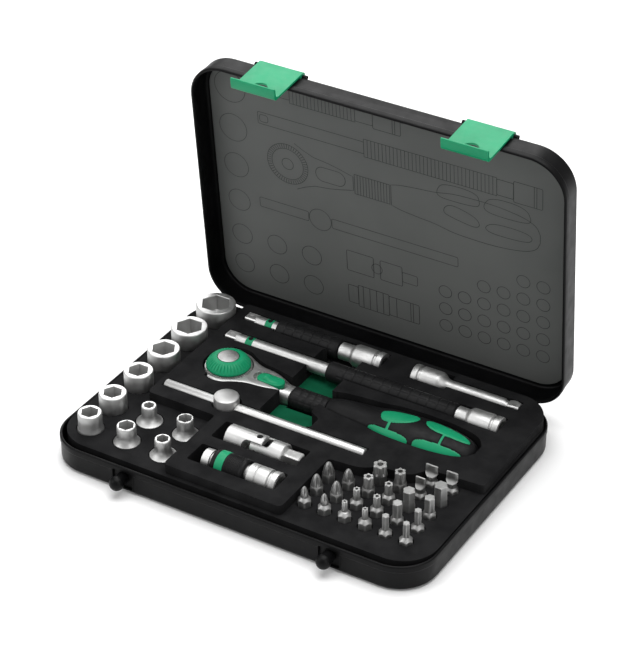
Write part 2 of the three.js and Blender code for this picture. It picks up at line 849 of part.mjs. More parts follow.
function makeExtensionSleeve(name, [from, to]) {
  const inner = extensionShaftRadius + fit;
  const r = extensionSleeveRadius;
  const tube = turned([
    [inner, from], [r - 0.8, from], [r, from + 1.2], [r, to - 1.2], [r - 0.8, to], [inner, to], [inner, from],
  ], 'x');
  return mesh(name, tube, 'blackSteel');
}

function makeWobble() {
  const r = extensionSocketRadius;
  const [left, right] = [wobbleLeft, wobbleRight];
  const shaft = turned([
    [0, left], [r - 0.5, left], [r, left + 0.5], [r, left + 3.2], [r - 0.7, left + 3.6],
    [r - 0.7, left + 4.6], [r, left + 5], [r, left + wobbleHeadLength],
    [wobbleShaftRadius, left + wobbleHeadLength + wobbleTaper], [wobbleShaftRadius, right - 9],
    [2.5, right - 7.4], [2.5, right - 5],
    [0, right - 5],
  ], 'x');
  const half = driveSquare / 2 - 0.1;
  const ball = turned([
    [0, right - 6.2], [half, right - 5.6], [half + 0.8, right - 3.2], [half, right - 0.8], [0, right],
  ], 'x');
  const tip = squareTip(right - 7, 7).intersect(ball);
  const mouth = box([left - 1, left + driveDepth], [-half, half], [-half, half]);
  return mesh('wobble_extension', cut(union([shaft, tip]), [mouth]), 'satinChrome');
}

// ---------- universal joint (local origin at the cross) ----------
// one forked half: a round body with two ears across the given axis
function yoke(radius, end, across) {
  const gap = jointCube / 2 + fit;
  const body = rod(radius, 'x', -jointEarReach, end);
  const wide = [-radius - 1, radius + 1];
  const inside = [-gap, gap];
  const middle = box([-jointEarReach - 1, jointWeb], across === 'z' ? wide : inside, across === 'z' ? inside : wide);
  const trims = [-1, 1].map((side) => {
    const near = (side * jointEarWidth) / 2;
    const far = side * (radius + 1);
    const strip = [Math.min(near, far), Math.max(near, far)];
    return box([-jointEarReach - 1, jointWeb], across === 'z' ? strip : wide, across === 'z' ? wide : strip);
  });
  const bore = rod(jointPinRadius + fit, across, -radius - 1, radius + 1, [0, 0, 0], smallFacets);
  return cut(body, [middle, ...trims, bore]);
}

function makeJointSocket() {
  const length = jointX - jointLeft;
  const half = driveSquare / 2;
  const mouth = box([length - driveDepth, length + 1], [-half, half], [-half, half]);
  const result = mesh('joint_socket', yoke(jointRadius, length, 'z').subtract(mouth), 'satinChrome');
  result.rotation.z = Math.PI;
  return result;
}

function makeJointCross() {
  const half = jointCube / 2;
  const reach = jointRadius - 0.4;
  const cube = box([-half, half], [-half, half], [-half, half]);
  const upright = rod(jointPinRadius, 'z', -reach, reach, [0, 0, 0], smallFacets);
  const level = rod(jointPinRadius, 'y', 0.4 - jointDriveRadius, jointDriveRadius - 0.4, [0, 0, 0], smallFacets);
  return mesh('joint_cross', union([cube, upright, level]), 'greySteel');
}

function makeJointDrive() {
  const end = jointRight - jointX - jointSquareLength;
  const body = yoke(jointDriveRadius, end, 'y');
  return mesh('joint_drive', body.add(squareTip(end - 0.5, jointRight - jointX - end + 0.5)), 'satinChrome');
}

// ---------- bit adapter ----------
function makeAdapterBody() {
  const r = adapterRadius;
  const collar = adapterSleeve[0] - adapterSleeveTravel;
  const shoulder = adapterSleeve[1] + adapterSleeveTravel + fit;
  const body = turned([
    [0, adapterLeft], [adapterCore + 0.4, adapterLeft], [adapterCore + 0.9, adapterLeft + 0.5],
    [adapterCore + 0.9, collar], [adapterCore, collar], [adapterCore, shoulder], [r, shoulder],
    [r, adapterRight - 5], [r - 0.7, adapterRight - 4.6], [r - 0.7, adapterRight - 3.6],
    [r, adapterRight - 3.2], [r, adapterRight - 0.5], [r - 0.5, adapterRight], [0, adapterRight],
  ], 'x');
  const mouth = prismAlongX(hexagon(bitHex), adapterLeft - 1, adapterLeft + hexDepth);
  return mesh('adapter_body', cut(body, [mouth, squareSocket(adapterRight)]), 'satinChrome');
}

function makeAdapterSleeve() {
  const [from, to] = adapterSleeve;
  const inner = adapterCore + fit;
  const r = adapterSleeveRadius;
  const tube = turned([
    [inner, from], [r - 0.6, from], [r, from + 0.8], [r, to - 0.8], [r - 0.6, to], [inner, to], [inner, from],
  ], 'x');
  return mesh('adapter_sleeve', tube, 'blackPlastic');
}

// ---------- foam tray ----------
const above = platformTop + 1;

// closed outline with each corner eased by its own radius
function easedOutline(corners, steps = 4) {
  const shape = new THREE.Shape();
  corners.forEach(([x, y, radius], i) => {
    const corner = new THREE.Vector2(x, y);
    const toward = (other) => {
      const target = new THREE.Vector2(other[0], other[1]);
      return target.sub(corner).setLength(radius).add(corner);
    };
    const before = toward(corners[(i + corners.length - 1) % corners.length]);
    const after = toward(corners[(i + 1) % corners.length]);
    if (i === 0) {
      shape.moveTo(before.x, before.y);
    } else {
      shape.lineTo(before.x, before.y);
    }
    shape.quadraticCurveTo(x, y, after.x, after.y);
  });
  shape.closePath();
  const points = shape.getPoints(steps);
  return points.slice(0, -1).map((point) => [point.x, point.y]);
}

function platformOutline() {
  const right = trayX - platformSideInset;
  return easedOutline([
    [-platformLeft, shelfBack, 3],
    [-blockLeft, shelfBack, 2],
    [-blockLeft, trayFront + platformFrontInset, 3],
    [blockRight, trayFront + platformFrontInset, 3],
    [blockRight, -24, 2],
    [46, -22.5, 5],
    [53, -16.5, 4],
    [69, -15.5, 4],
    [75, -6.5, 4],
    [right, -4.5, 2],
    [right, trayBack - platformSideInset, 16],
    [-platformLeft, trayBack - platformSideInset, 3],
  ]);
}

function fingerRecess() {
  const outline = easedOutline([
    [recessLeft, recessFront, 2],
    [recessWideRight, recessFront, 2],
    [recessWideRight, recessWideBack, 2],
    [recessRight, recessWideBack + 3, 2],
    [recessRight, recessBack, 2],
    [recessLeft, recessBack, 2],
  ]);
  return prism(outline, lowerLayerTop, above);
}

// straight trough along X, centred on y
function trough(left, right, y, half, floor) {
  return box([left, right], [y - half, y + half], [floor, above]);
}

function standingPockets() {
  const through = 0;
  const forSockets = sockets.map(([, , mouth, x, y]) => {
    return rod(socketWidest(mouth) + pocketGap, 'z', through, above, [x, y, 0], wideFacets);
  });
  const forBits = bits.map((bit) => rod(bitHoleRadius, 'z', through, above, [bit.x, bit.y, 0], smallFacets));
  return [...forSockets, ...forBits];
}

function ratchetPockets() {
  const wide = 2 * pocketGap;
  const forkFloor = ratchetZ - Math.max(-forkBottom, neckRadius) - pocketGap;
  const fork = prism(forkShape(wide).map(([x, y]) => [x, y + ratchetY]), forkFloor, above);
  const headFloor = ratchetZ - 6.5;
  const head = rod(headRadius + pocketGap, 'z', headFloor, above, [headX, ratchetY, 0], wideFacets);
  const reach = driveSquare / 2 + 1.6;
  const square = box([headX - reach, headX + reach], [ratchetY - reach, ratchetY + reach], [0, above]);
  const sleeve = trough(-19, handleStart, ratchetY, sleeveRadius + wide, ratchetZ - sleeveRadius - pocketGap);
  const upper = handleStations.map(([along, share]) => {
    const x = handleStart + along * (handleEnd - handleStart);
    return [x, handleHalfWidth * share + 1.2];
  });
  upper[0][0] -= pocketGap;
  upper[upper.length - 1][0] += wide;
  const lower = upper.map(([x, w]) => [x, -w]).reverse();
  const outline = [...upper, ...lower].reverse().map(([x, y]) => [x, y + ratchetY]);
  const handle = prism(outline, 0, above);
  return [fork, head, square, sleeve, handle];
}

function tbarPockets() {
  const floor = tbarZ - tbarRadius - pocketGap;
  const rodPocket = trough(tbarLeft - pocketGap, tbarRight + pocketGap, tbarY, tbarRadius + pocketGap, floor);
  const headFloor = tbarZ - tbarHeadBelow - pocketGap;
  const head = rod(tbarHeadRadius + tbarHeadPlay, 'z', headFloor, above, [tbarHeadX, tbarY, 0], wideFacets);
  const reach = driveSquare / 2 + tbarHeadPlay;
  const square = box([tbarHeadX - reach, tbarHeadX + reach], [tbarY - reach, tbarY + reach], [0, above]);
  return [rodPocket, head, square];
}

function extensionPockets(y, right, sleeve) {
  const start = right - extensionSocketLength;
  const fromShaft = extensionLeft - pocketGap;
  return [
    trough(fromShaft, right, y, extensionShaftRadius + pocketGap, extensionZ - extensionShaftRadius - pocketGap),
    trough(
      sleeve[0] - pocketGap, sleeve[1] + pocketGap, y,
      extensionSleeveRadius + pocketGap, extensionZ - extensionSleeveRadius - pocketGap,
    ),
    trough(
      sleeve[1] + pocketGap, start, y, extensionSocketRadius, extensionZ - extensionSocketRadius,
    ),
    trough(start - pocketGap, right + pocketGap, y, extensionSocketRadius + pocketGap, lowerLayerTop),
  ];
}

function wobblePockets() {
  const floor = extensionZ - wobbleShaftRadius - pocketGap;
  return [
    trough(wobbleLeft, wobbleRight + pocketGap, shortExtensionY, wobbleShaftRadius + pocketGap, floor),
    trough(
      wobbleLeft - pocketGap, wobbleLeft + wobbleHeadLength + wobbleTaper, shortExtensionY,
      extensionSocketRadius + pocketGap, lowerLayerTop,
    ),
  ];
}

function lyingPockets() {
  return [
    trough(lyingPocketLeft, jointRight + 2 * pocketGap, jointY, jointRadius + 2 * pocketGap, lowerLayerTop),
    trough(
      lyingPocketLeft, adapterRight + 2 * pocketGap, adapterY,
      adapterSleeveRadius + pocketGap / 2, lowerLayerTop,
    ),
  ];
}

function makeFoamTray() {
  const base = roundedRectangle(-trayX, trayX, trayFront, trayBack, trayCornerRadius);
  const lower = prism(base, standingSeat, shelfTop);
  const within = prism(base, shelfTop - 1, platformTop);
  const platform = prism(platformOutline(), shelfTop - 1, platformTop).intersect(within);
  const pockets = [
    fingerRecess(),
    ...standingPockets(),
    ...ratchetPockets(),
    ...tbarPockets(),
    ...extensionPockets(longExtensionY, longExtensionRight, longSleeve),
    ...extensionPockets(shortExtensionY, shortExtensionRight, shortSleeve),
    ...wobblePockets(),
    ...lyingPockets(),
  ];
  return mesh('foam_tray', cut(lower.add(platform), pockets), 'foam');
}

// ---------- assembly ----------
function group(children, [x, y, z] = [0, 0, 0]) {
  const result = new THREE.Group();
  result.position.set(x, y, z);
  result.add(...children);
  return result;
}

// lid, panel and latches turn together about the hinge pin
function makeLid() {
  const parts = group([
    makeLidShell(),
    makeLidPanel(),
    makeLatch('latch_left', -latchX),
    makeLatch('latch_right', latchX),
  ], [0, -hingeY, -hingeZ]);
  const hinge = group([parts], [0, hingeY, hingeZ]);
  hinge.rotation.x = THREE.MathUtils.degToRad(-lidOpenAngle);
  return hinge;
}

function makeRatchet() {
  return group([
    makeFork(),
    makeRatchetHead(),
    makeDial(),
    makeButton(),
    makeSwitch(),
    makeRatchetSleeve(),
    makeHandle(),
  ], [0, ratchetY, ratchetZ]);
}

const set = new THREE.Group();
set.add(makeBaseShell(), makeHingePin(), makeFoamTray(), makeLid(), makeRatchet());
set.add(group([makeTbarRod(), makeTbarHead()], [0, tbarY, tbarZ]));
set.add(group([
  makeExtension('long_extension', longExtensionRight, longSleeve),
  makeExtensionSleeve('long_extension_sleeve', longSleeve),
], [0, longExtensionY, extensionZ]));
set.add(group([
  makeExtension('short_extension', shortExtensionRight, shortSleeve),
  makeExtensionSleeve('short_extension_sleeve', shortSleeve),
], [0, shortExtensionY, extensionZ]));
set.add(group([makeWobble()], [0, shortExtensionY, extensionZ]));
set.add(group([makeJointSocket(), makeJointCross(), makeJointDrive()], [jointX, jointY, jointZ]));
set.add(group([makeAdapterBody(), makeAdapterSleeve()], [0, adapterY, adapterZ]));
set.add(...sockets.map(makeSocket));
set.add(...bits.map(makeBit));

export default set;
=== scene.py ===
import math

import bpy
from mathutils import Matrix, Vector


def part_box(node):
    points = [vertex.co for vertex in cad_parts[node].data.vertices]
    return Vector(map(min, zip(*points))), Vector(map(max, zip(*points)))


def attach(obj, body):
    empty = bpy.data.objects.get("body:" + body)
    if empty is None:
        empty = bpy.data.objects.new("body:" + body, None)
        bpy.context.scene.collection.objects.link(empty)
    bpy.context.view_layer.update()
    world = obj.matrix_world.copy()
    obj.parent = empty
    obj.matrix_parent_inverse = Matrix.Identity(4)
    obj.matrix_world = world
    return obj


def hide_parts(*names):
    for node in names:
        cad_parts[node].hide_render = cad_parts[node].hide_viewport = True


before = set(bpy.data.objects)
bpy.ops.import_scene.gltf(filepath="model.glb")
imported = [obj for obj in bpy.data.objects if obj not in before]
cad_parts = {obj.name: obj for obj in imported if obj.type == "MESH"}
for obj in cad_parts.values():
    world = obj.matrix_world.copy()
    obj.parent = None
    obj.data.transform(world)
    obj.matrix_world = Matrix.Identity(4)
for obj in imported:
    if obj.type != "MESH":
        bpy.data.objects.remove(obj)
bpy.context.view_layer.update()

MM = 0.001
TAU = 2 * math.pi


# ---------- places taken from the frame, in millimetres ----------
def span(node):
    lo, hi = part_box(node)
    return [v / MM for v in lo], [v / MM for v in hi]


def middle(node):
    lo, hi = span(node)
    return [(a + b) / 2 for a, b in zip(lo, hi)]


# ---------- materials ----------
def noise(tree, scale, detail=2.0, stretch=None):
    coords = tree.nodes.new("ShaderNodeTexCoord")
    tex = tree.nodes.new("ShaderNodeTexNoise")
    tex.inputs["Scale"].default_value = scale
    tex.inputs["Detail"].default_value = detail
    if stretch:
        mapping = tree.nodes.new("ShaderNodeMapping")
        mapping.inputs["Scale"].default_value = stretch
        tree.links.new(coords.outputs["Object"], mapping.inputs["Vector"])
        tree.links.new(mapping.outputs["Vector"], tex.inputs["Vector"])
    else:
        tree.links.new(coords.outputs["Object"], tex.inputs["Vector"])
    return tex.outputs["Fac"]


def ramp(tree, source, low, high, start=0.35, end=0.65):
    node = tree.nodes.new("ShaderNodeValToRGB")
    node.color_ramp.elements[0].position = start
    node.color_ramp.elements[1].position = end
    node.color_ramp.elements[0].color = (*low, 1)
    node.color_ramp.elements[1].color = (*high, 1)
    tree.links.new(source, node.inputs["Fac"])
    return node.outputs["Color"]


def spread(tree, source, low, high):
    node = tree.nodes.new("ShaderNodeMapRange")
    node.inputs["From Min"].default_value = 0.3
    node.inputs["From Max"].default_value = 0.7
    node.inputs["To Min"].default_value = low
    node.inputs["To Max"].default_value = high
    tree.links.new(source, node.inputs["Value"])
    return node.outputs["Result"]


def material(name, low, high, rough, metal=0.0, specular=0.5, patch=40.0, grain=1500.0,
             bump=0.2, depth=0.02, stretch=None, highlight=None):
    """Noise-mottled colour, uneven gloss and a fine raised grain.

    rough is a range, patch and grain are noise scales per metre, and depth is in millimetres."""
    made = bpy.data.materials.new(name)
    made.use_nodes = True
    tree = made.node_tree
    shader = tree.nodes["Principled BSDF"]
    shader.inputs["Metallic"].default_value = metal
    shader.inputs["Specular IOR Level"].default_value = specular
    colour = ramp(tree, noise(tree, patch, 4.0), low, high)
    # a given edge colour is painted on sharp edges as a highlight
    if highlight:
        colour = paint_edge_highlight(tree, colour, highlight)
    tree.links.new(colour, shader.inputs["Base Color"])
    tree.links.new(spread(tree, noise(tree, patch * 6, 3.0), *rough), shader.inputs["Roughness"])
    raised = tree.nodes.new("ShaderNodeBump")
    raised.inputs["Strength"].default_value = bump
    raised.inputs["Distance"].default_value = depth * MM
    tree.links.new(noise(tree, grain, 3.0, stretch), raised.inputs["Height"])
    tree.links.new(raised.outputs["Normal"], shader.inputs["Normal"])
    return made


def paint_edge_highlight(tree, colour, highlight):
    """Painted highlight: lighter colour where the surface turns sharply, standing in for the glint of light on sharp
    edges.
    """
    geometry = tree.nodes.new("ShaderNodeNewGeometry")
    highlight_mask = tree.nodes.new("ShaderNodeMapRange")
    highlight_mask.inputs["From Min"].default_value = 0.53
    highlight_mask.inputs["From Max"].default_value = 0.62
    tree.links.new(geometry.outputs["Pointiness"], highlight_mask.inputs["Value"])
    mix = tree.nodes.new("ShaderNodeMix")
    mix.data_type = "RGBA"
    tree.links.new(highlight_mask.outputs["Result"], mix.inputs["Factor"])
    tree.links.new(colour, mix.inputs["A"])
    mix.inputs["B"].default_value = (*highlight, 1)
    return mix.outputs["Result"]


PAINT = material("black_paint", (0.002, 0.002, 0.0022), (0.004, 0.004, 0.0043), (0.34, 0.46),
                 specular=0.10, patch=30, grain=2200, bump=0.12, depth=0.02)
FOAM = material("foam", (0.009, 0.009, 0.0095), (0.015, 0.015, 0.0155), (0.88, 0.98), specular=0.05,
                patch=90, grain=2600, bump=0.55, depth=0.12)
GREEN_FOAM = material("green_foam", (0.001, 0.070, 0.030), (0.002, 0.100, 0.046), (0.85, 0.97),
                      specular=0.15, patch=90, grain=2600, bump=0.55, depth=0.12)
PANEL = material("grey_panel", (0.088, 0.092, 0.089), (0.112, 0.116, 0.112), (0.50, 0.62), specular=0.2,
                 patch=9, grain=1800, bump=0.15, depth=0.02)
# dark lines of the lid drawing: painted shade standing in for the shade inside engraved grooves
GROOVE_SHADE = material("painted_groove_shade", (0.030, 0.032, 0.031), (0.042, 0.044, 0.043), (0.6, 0.75),
                    specular=0.2, patch=60, grain=1800, bump=0.1)
GREEN = material("green_plastic", (0.002, 0.225, 0.098), (0.004, 0.275, 0.122), (0.40, 0.52),
                 specular=0.28, patch=50, grain=1900, bump=0.22, depth=0.02)
BLACK = material("black_plastic", (0.004, 0.004, 0.0045), (0.008, 0.008, 0.0085), (0.42, 0.56),
                 specular=0.16, patch=60, grain=1700, bump=0.3, depth=0.03)
GUNMETAL = material("black_steel", (0.006, 0.006, 0.0065), (0.011, 0.011, 0.0115), (0.44, 0.58),
                    metal=0.1, specular=0.2, patch=80, grain=2400, bump=0.3, depth=0.03, stretch=(0.15, 1, 1))
# satin chrome, the chrome rod and grey steel take a painted highlight colour on their sharp edges
CHROME = material("satin_chrome", (0.47, 0.47, 0.465), (0.56, 0.56, 0.555), (0.42, 0.54), metal=1.0,
                  patch=70, grain=3200, bump=0.14, depth=0.012, highlight=(0.86, 0.86, 0.85))
ROLLED = material("satin_chrome_rod", (0.50, 0.50, 0.495), (0.60, 0.60, 0.595), (0.40, 0.52), metal=1.0,
                  patch=60, grain=5200, bump=0.14, depth=0.012, stretch=(0.04, 1, 1), highlight=(0.86, 0.86, 0.85))
# grey steel also takes a painted highlight on its sharp edges
STEEL = material("grey_steel", (0.34, 0.34, 0.335), (0.43, 0.43, 0.425), (0.40, 0.52), metal=1.0,
                 patch=150, grain=3600, bump=0.2, depth=0.012, highlight=(0.72, 0.72, 0.71))
# dark colour painted as the shade inside a hole where no hole is cut; the cutting tools also wear it
HOLE_SHADE = material("painted_hole_shade", (0.004, 0.004, 0.004), (0.008, 0.008, 0.008), (0.7, 0.85), specular=0.2,
                patch=200, grain=2500, bump=0.2)


# ---------- meshes ----------
DRIVE = 6.35    # the quarter-inch drive across its flats


def sheet(name, shape, looks):
    """A mesh as its faces come, open or closed."""
    verts, faces, *marks = shape
    mesh = bpy.data.meshes.new(name)
    mesh.from_pydata([(x * MM, y * MM, z * MM) for x, y, z in verts], [], faces)
    for look in looks if isinstance(looks, list) else [looks]:
        mesh.materials.append(look)
    if marks:
        mesh.polygons.foreach_set("material_index", marks[0])
    made = bpy.data.objects.new(name, mesh)
    bpy.context.scene.collection.objects.link(made)
    return made


def build(name, shape, looks):
    """A closed mesh with its faces outward."""
    made = sheet(name, shape, looks)
    outward(made)
    return made


def outward(made):
    """Turn the faces outward when the closed mesh came out inside out."""
    mesh = made.data
    volume = 0.0
    for face in mesh.polygons:
        volume += face.center.dot(face.normal) * face.area
    if volume < 0:
        mesh.flip_normals()


def frozen(made):
    """The mesh with its modifiers applied."""
    graph = bpy.context.evaluated_depsgraph_get()
    mesh = bpy.data.meshes.new_from_object(made.evaluated_get(graph))
    made.modifiers.clear()
    old = made.data
    made.data = mesh
    bpy.data.meshes.remove(old)
    return made


def boolean(made, tools, operation="DIFFERENCE"):
    """Cut or join with several closed meshes at once; the tools are used up."""
    bench = bpy.data.collections.new("bench")
    bpy.context.scene.collection.children.link(bench)
    for tool in tools:
        bpy.context.scene.collection.objects.unlink(tool)
        bench.objects.link(tool)
    step = made.modifiers.new("boolean", "BOOLEAN")
    step.operation = operation
    step.operand_type = "COLLECTION"
    step.collection = bench
    step.solver = "EXACT"
    frozen(made)
    for tool in tools:
        bpy.data.objects.remove(tool)
    bpy.data.collections.remove(bench)
    return made


def eased(made, width, segments=3, angle=35):
    """Rounded edges, kept as a live bevel."""
    step = made.modifiers.new("bevel", "BEVEL")
    step.width = width * MM
    step.segments = segments
    step.limit_method = "ANGLE"
    step.angle_limit = math.radians(angle)
    return made


def finish(made, body, nodes=(), sharp=38, turn=None):
    """Shade, place and hand the piece to its body."""
    mesh = made.data
    if turn:
        mesh.transform(turn)
    mesh.polygons.foreach_set("use_smooth", [True] * len(mesh.polygons))
    mesh.set_sharp_from_angle(angle=math.radians(sharp))
    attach(made, body)
    if nodes:
        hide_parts(*nodes)
    return made


def loft(rings, closed=False):
    n = len(rings[0])
    verts = [point for ring in rings for point in ring]
    faces = []
    count = len(rings)
    for r in range(count if closed else count - 1):
        a, b = r * n, ((r + 1) % count) * n
        for i in range(n):
            j = (i + 1) % n
            faces.append((a + i, a + j, b + j, b + i))
    if not closed:
        faces.append(tuple(range(n - 1, -1, -1)))
        faces.append(tuple(range(len(verts) - n, len(verts))))
    return verts, faces


def polar(stations, axis="z", at=(0, 0, 0), n=64, closed=False):
    """Rings about an axis: each station is a height and a radius, or a radius that depends on the angle."""
    rings = []
    for h, r in stations:
        ring = []
        for i in range(n):
            t = TAU * i / n
            q = r(t) if callable(r) else r
            a, b = q * math.cos(t), q * math.sin(t)
            local = {"z": (a, b, h), "x": (h, a, b), "y": (b, h, a)}[axis]
            ring.append(tuple(u + v for u, v in zip(local, at)))
        rings.append(ring)
    return loft(rings, closed)


def hexagon(flats):
    return lambda t: flats / 2 / math.cos(t % (math.pi / 3) - math.pi / 6)


def square(side):
    return lambda t: side / 2 / max(abs(math.cos(t)), abs(math.sin(t)))


def rounded_square(side, corner):
    """A square whose corners are cut by a circle of the given radius."""
    return lambda t: min(side / 2 / max(abs(math.cos(t)), abs(math.sin(t))), corner)


def flutes(radius, depth, count):
    return lambda t: radius - depth * (0.5 - 0.5 * math.cos(count * t))


def grooves(radius, depth, count):
    """Round section with narrow grooves between wide ribs."""
    return lambda t: radius - depth * max(0.0, math.cos(count * t)) ** 2


def rounded(left, right, front, back, radius, steps=14):
    corners = [(right - radius, back - radius, 0), (left + radius, back - radius, 1),
               (left + radius, front + radius, 2), (right - radius, front + radius, 3)]
    points = []
    for x, y, quarter in corners:
        for i in range(steps + 1):
            t = (quarter + i / steps) * math.pi / 2
            points.append((x + radius * math.cos(t), y + radius * math.sin(t)))
    return points


def soft_corners(corners, steps=7):
    """Closed outline with each [x, y, radius] corner eased."""
    points = []
    for i, (x, y, radius) in enumerate(corners):
        here = Vector((x, y))
        before = Vector(corners[i - 1][:2]) - here
        after = Vector(corners[(i + 1) % len(corners)][:2]) - here
        a = here + before.normalized() * radius
        b = here + after.normalized() * radius
        for k in range(steps + 1):
            s = k / steps
            p = a * (1 - s) ** 2 + here * 2 * s * (1 - s) + b * s * s
            points.append((p.x, p.y))
    return points


def prism(points, low, high, axis="z"):
    place = {"z": lambda a, b, h: (a, b, h), "x": lambda a, b, h: (h, a, b), "y": lambda a, b, h: (a, h, b)}[axis]
    return loft([[place(a, b, h) for a, b in points] for h in (low, high)])


def block(x, y, z):
    return prism([(x[0], y[0]), (x[1], y[0]), (x[1], y[1]), (x[0], y[1])], z[0], z[1])


def tool(shape):
    return build("tool", shape, HOLE_SHADE)


# ---------- case ----------
LENGTH, WIDTH, CORNER = 213.0, 152.0, 20.8
RIM, TOP = 14.3, 28.2
HINGE = middle("hinge_pin")
HINGE_LEFT, KNUCKLE, KNUCKLE_ROOM = -75, 30, 0.15
BASE_KNUCKLES, LID_KNUCKLES = (0, 2, 4), (1, 3)
PIN_BORE = 0.85
SIDES = [("left", -59), ("right", 59)]
LATCH_PIVOT, LUG_START = (-75.2, 28.2), 13.05
STUD_HEIGHT = 7.6
OPEN_ANGLE = 84
# the lid is drawn closed and turned open as it is finished
OPEN = (Matrix.Translation((0, HINGE[1] * MM, HINGE[2] * MM)) @ Matrix.Rotation(math.radians(-OPEN_ANGLE), 4, "X")
        @ Matrix.Translation((0, -HINGE[1] * MM, -HINGE[2] * MM)))


def pressing(path):
    rings = []
    for inset, z in path:
        x, y = LENGTH / 2 - inset, WIDTH / 2 - inset
        rings.append([(px, py, z) for px, py in rounded(-x, x, -y, y, CORNER - inset, 18)])
    return loft(rings)


def bend(inset, z, radius, start, end, steps=6):
    """Quarter bend in (inset, z)."""
    out = []
    for i in range(steps + 1):
        t = math.radians(start + (end - start) * i / steps)
        out.append((inset + radius * math.cos(t), z + radius * math.sin(t)))
    return out


def pin_bore():
    return tool(polar([(-76, PIN_BORE), (76, PIN_BORE)], "x", (0, HINGE[1], HINGE[2]), 24))


def case_base():
    path = [*bend(2.55, 2.2, 2.2, 270, 180), (0.35, 10.3), (0.3, 10.7), (0.02, 11.0), (0, 11.4), (0, 13.5)]
    path += bend(0.8, 13.5, 0.8, 180, 0, 8)[1:]
    path += [(1.6, 12.1), (1.15, 11.6), (1.15, 2.2), *bend(2.55, 2.2, 1.4, 180, 270, 4)[1:]]
    shell = build("case_base", pressing(path), PAINT)
    cuts = [pin_bore()]
    for i in LID_KNUCKLES:
        left = HINGE_LEFT + KNUCKLE * i
        cuts.append(tool(block((left - 0.1, left + KNUCKLE + 0.1), (73.4, 78), (HINGE[2] - 1.9, 16))))
    for _, x in SIDES:
        cuts.append(tool(prism(rounded(x - 5.8, x + 5.8, 2.2, 11.8, 0.9, 4), -78, -74.6, "y")))
    pads = []
    for _, x in SIDES:
        pads.append(tool(block((x - 6.5, x + 6.5), (-75.8, -73.9), (1.5, 12.2))))
    boolean(shell, pads, "UNION")
    boolean(shell, cuts)
    eased(shell, 0.25, 2, 50)
    finish(shell, "base", ["base_shell"])
    for i in BASE_KNUCKLES:
        knuckle("base_knuckle_%d" % i, i, "base")
    for side, x in SIDES:
        stud("stud_" + side, x)


def stud(name, x):
    """Ball on a neck, turned about Y, that the strap's hole snaps over."""
    ball, centre, start, steps = 3.85, -80.55, -0.54, 16
    stations = [(-75.0, 3.3)]
    for i in range(steps + 1):
        t = start + (math.pi / 2 - start) * i / steps
        stations.append((centre - ball * math.sin(t), ball * math.cos(t)))
    stations[-1] = (stations[-1][0], 0.02)
    finish(build(name, polar(stations, "y", (x, 0, STUD_HEIGHT), 40), PAINT), "base")


def knuckle_ends(index):
    """A knuckle's ends, with a little room to its neighbours."""
    left = HINGE_LEFT + KNUCKLE * index
    return left + KNUCKLE_ROOM, left + KNUCKLE - KNUCKLE_ROOM


def knuckle(name, index, body, turn=None):
    """Hollow roll about the hinge pin with eased ends."""
    left, right = knuckle_ends(index)
    path = [(left, PIN_BORE), (left, 1.2), (left + 0.25, 1.45),
            (right - 0.25, 1.45), (right, 1.2), (right, PIN_BORE)]
    made = build(name, polar(path, "x", (0, HINGE[1], HINGE[2]), 32, True), PAINT)
    finish(made, body, (), 38, turn)


def case_lid():
    low = RIM + 0.3
    path = [(2.55, TOP - 0.8), *bend(2.55, TOP - 2.2, 1.4, 90, 180, 4)[1:], (1.15, 17.9), (1.6, 17.3)]
    path += bend(0.8, low + 0.8, 0.8, 360, 180, 8)
    path += [(0, 17.5), (0.02, 17.9), (0.3, 18.2), (0.35, 18.6), *bend(2.55, TOP - 2.2, 2.2, 180, 90)]
    shell = build("case_lid", pressing(path), PAINT)
    cuts = [pin_bore()]
    for _, x in SIDES:
        cuts.append(tool(block((x - LUG_START, x + LUG_START), (-78, -72.6), (25.6, 30))))
    webs = [tool(block(knuckle_ends(i), (75.2, 75.9), (HINGE[2], 15.4))) for i in LID_KNUCKLES]
    boolean(shell, webs, "UNION")
    boolean(shell, cuts)
    eased(shell, 0.2, 2, 50)
    finish(shell, "lid", ["lid_shell"], 38, OPEN)
    for i in LID_KNUCKLES:
        knuckle("lid_knuckle_%d" % i, i, "lid", OPEN)
    for side, x in SIDES:
        latch_pivot("latch_pivot_%s_a" % side, x, -1)
        latch_pivot("latch_pivot_%s_b" % side, x, 1)


def latch_pivot(name, x, end):
    """A pin and its lug at one end of the strap."""
    for label, start, radius in (("", 10.6, 0.8), ("_lug", LUG_START, 1.2)):
        left, right = sorted((x + end * start, x + end * 15.2))
        shape = polar([(left, radius), (right, radius)], "x", (0, *LATCH_PIVOT), 24)
        finish(build(name + label, shape, PAINT), "lid", (), 38, OPEN)


def lid_panel():
    inset = 3.9
    x, y = LENGTH / 2 - inset, WIDTH / 2 - inset
    rings = []
    for shrink, z in ((0.35, 26.3), (0, 26.6), (0, 26.95), (0.15, 27.1)):
        outline = rounded(-x + shrink, x - shrink, -y + shrink, y - shrink, CORNER - inset - shrink, 18)
        rings.append([(px, py, z) for px, py in outline])
    finish(build("panel_sheet", loft(rings), PANEL), "lid", ["lid_panel"], 38, OPEN)


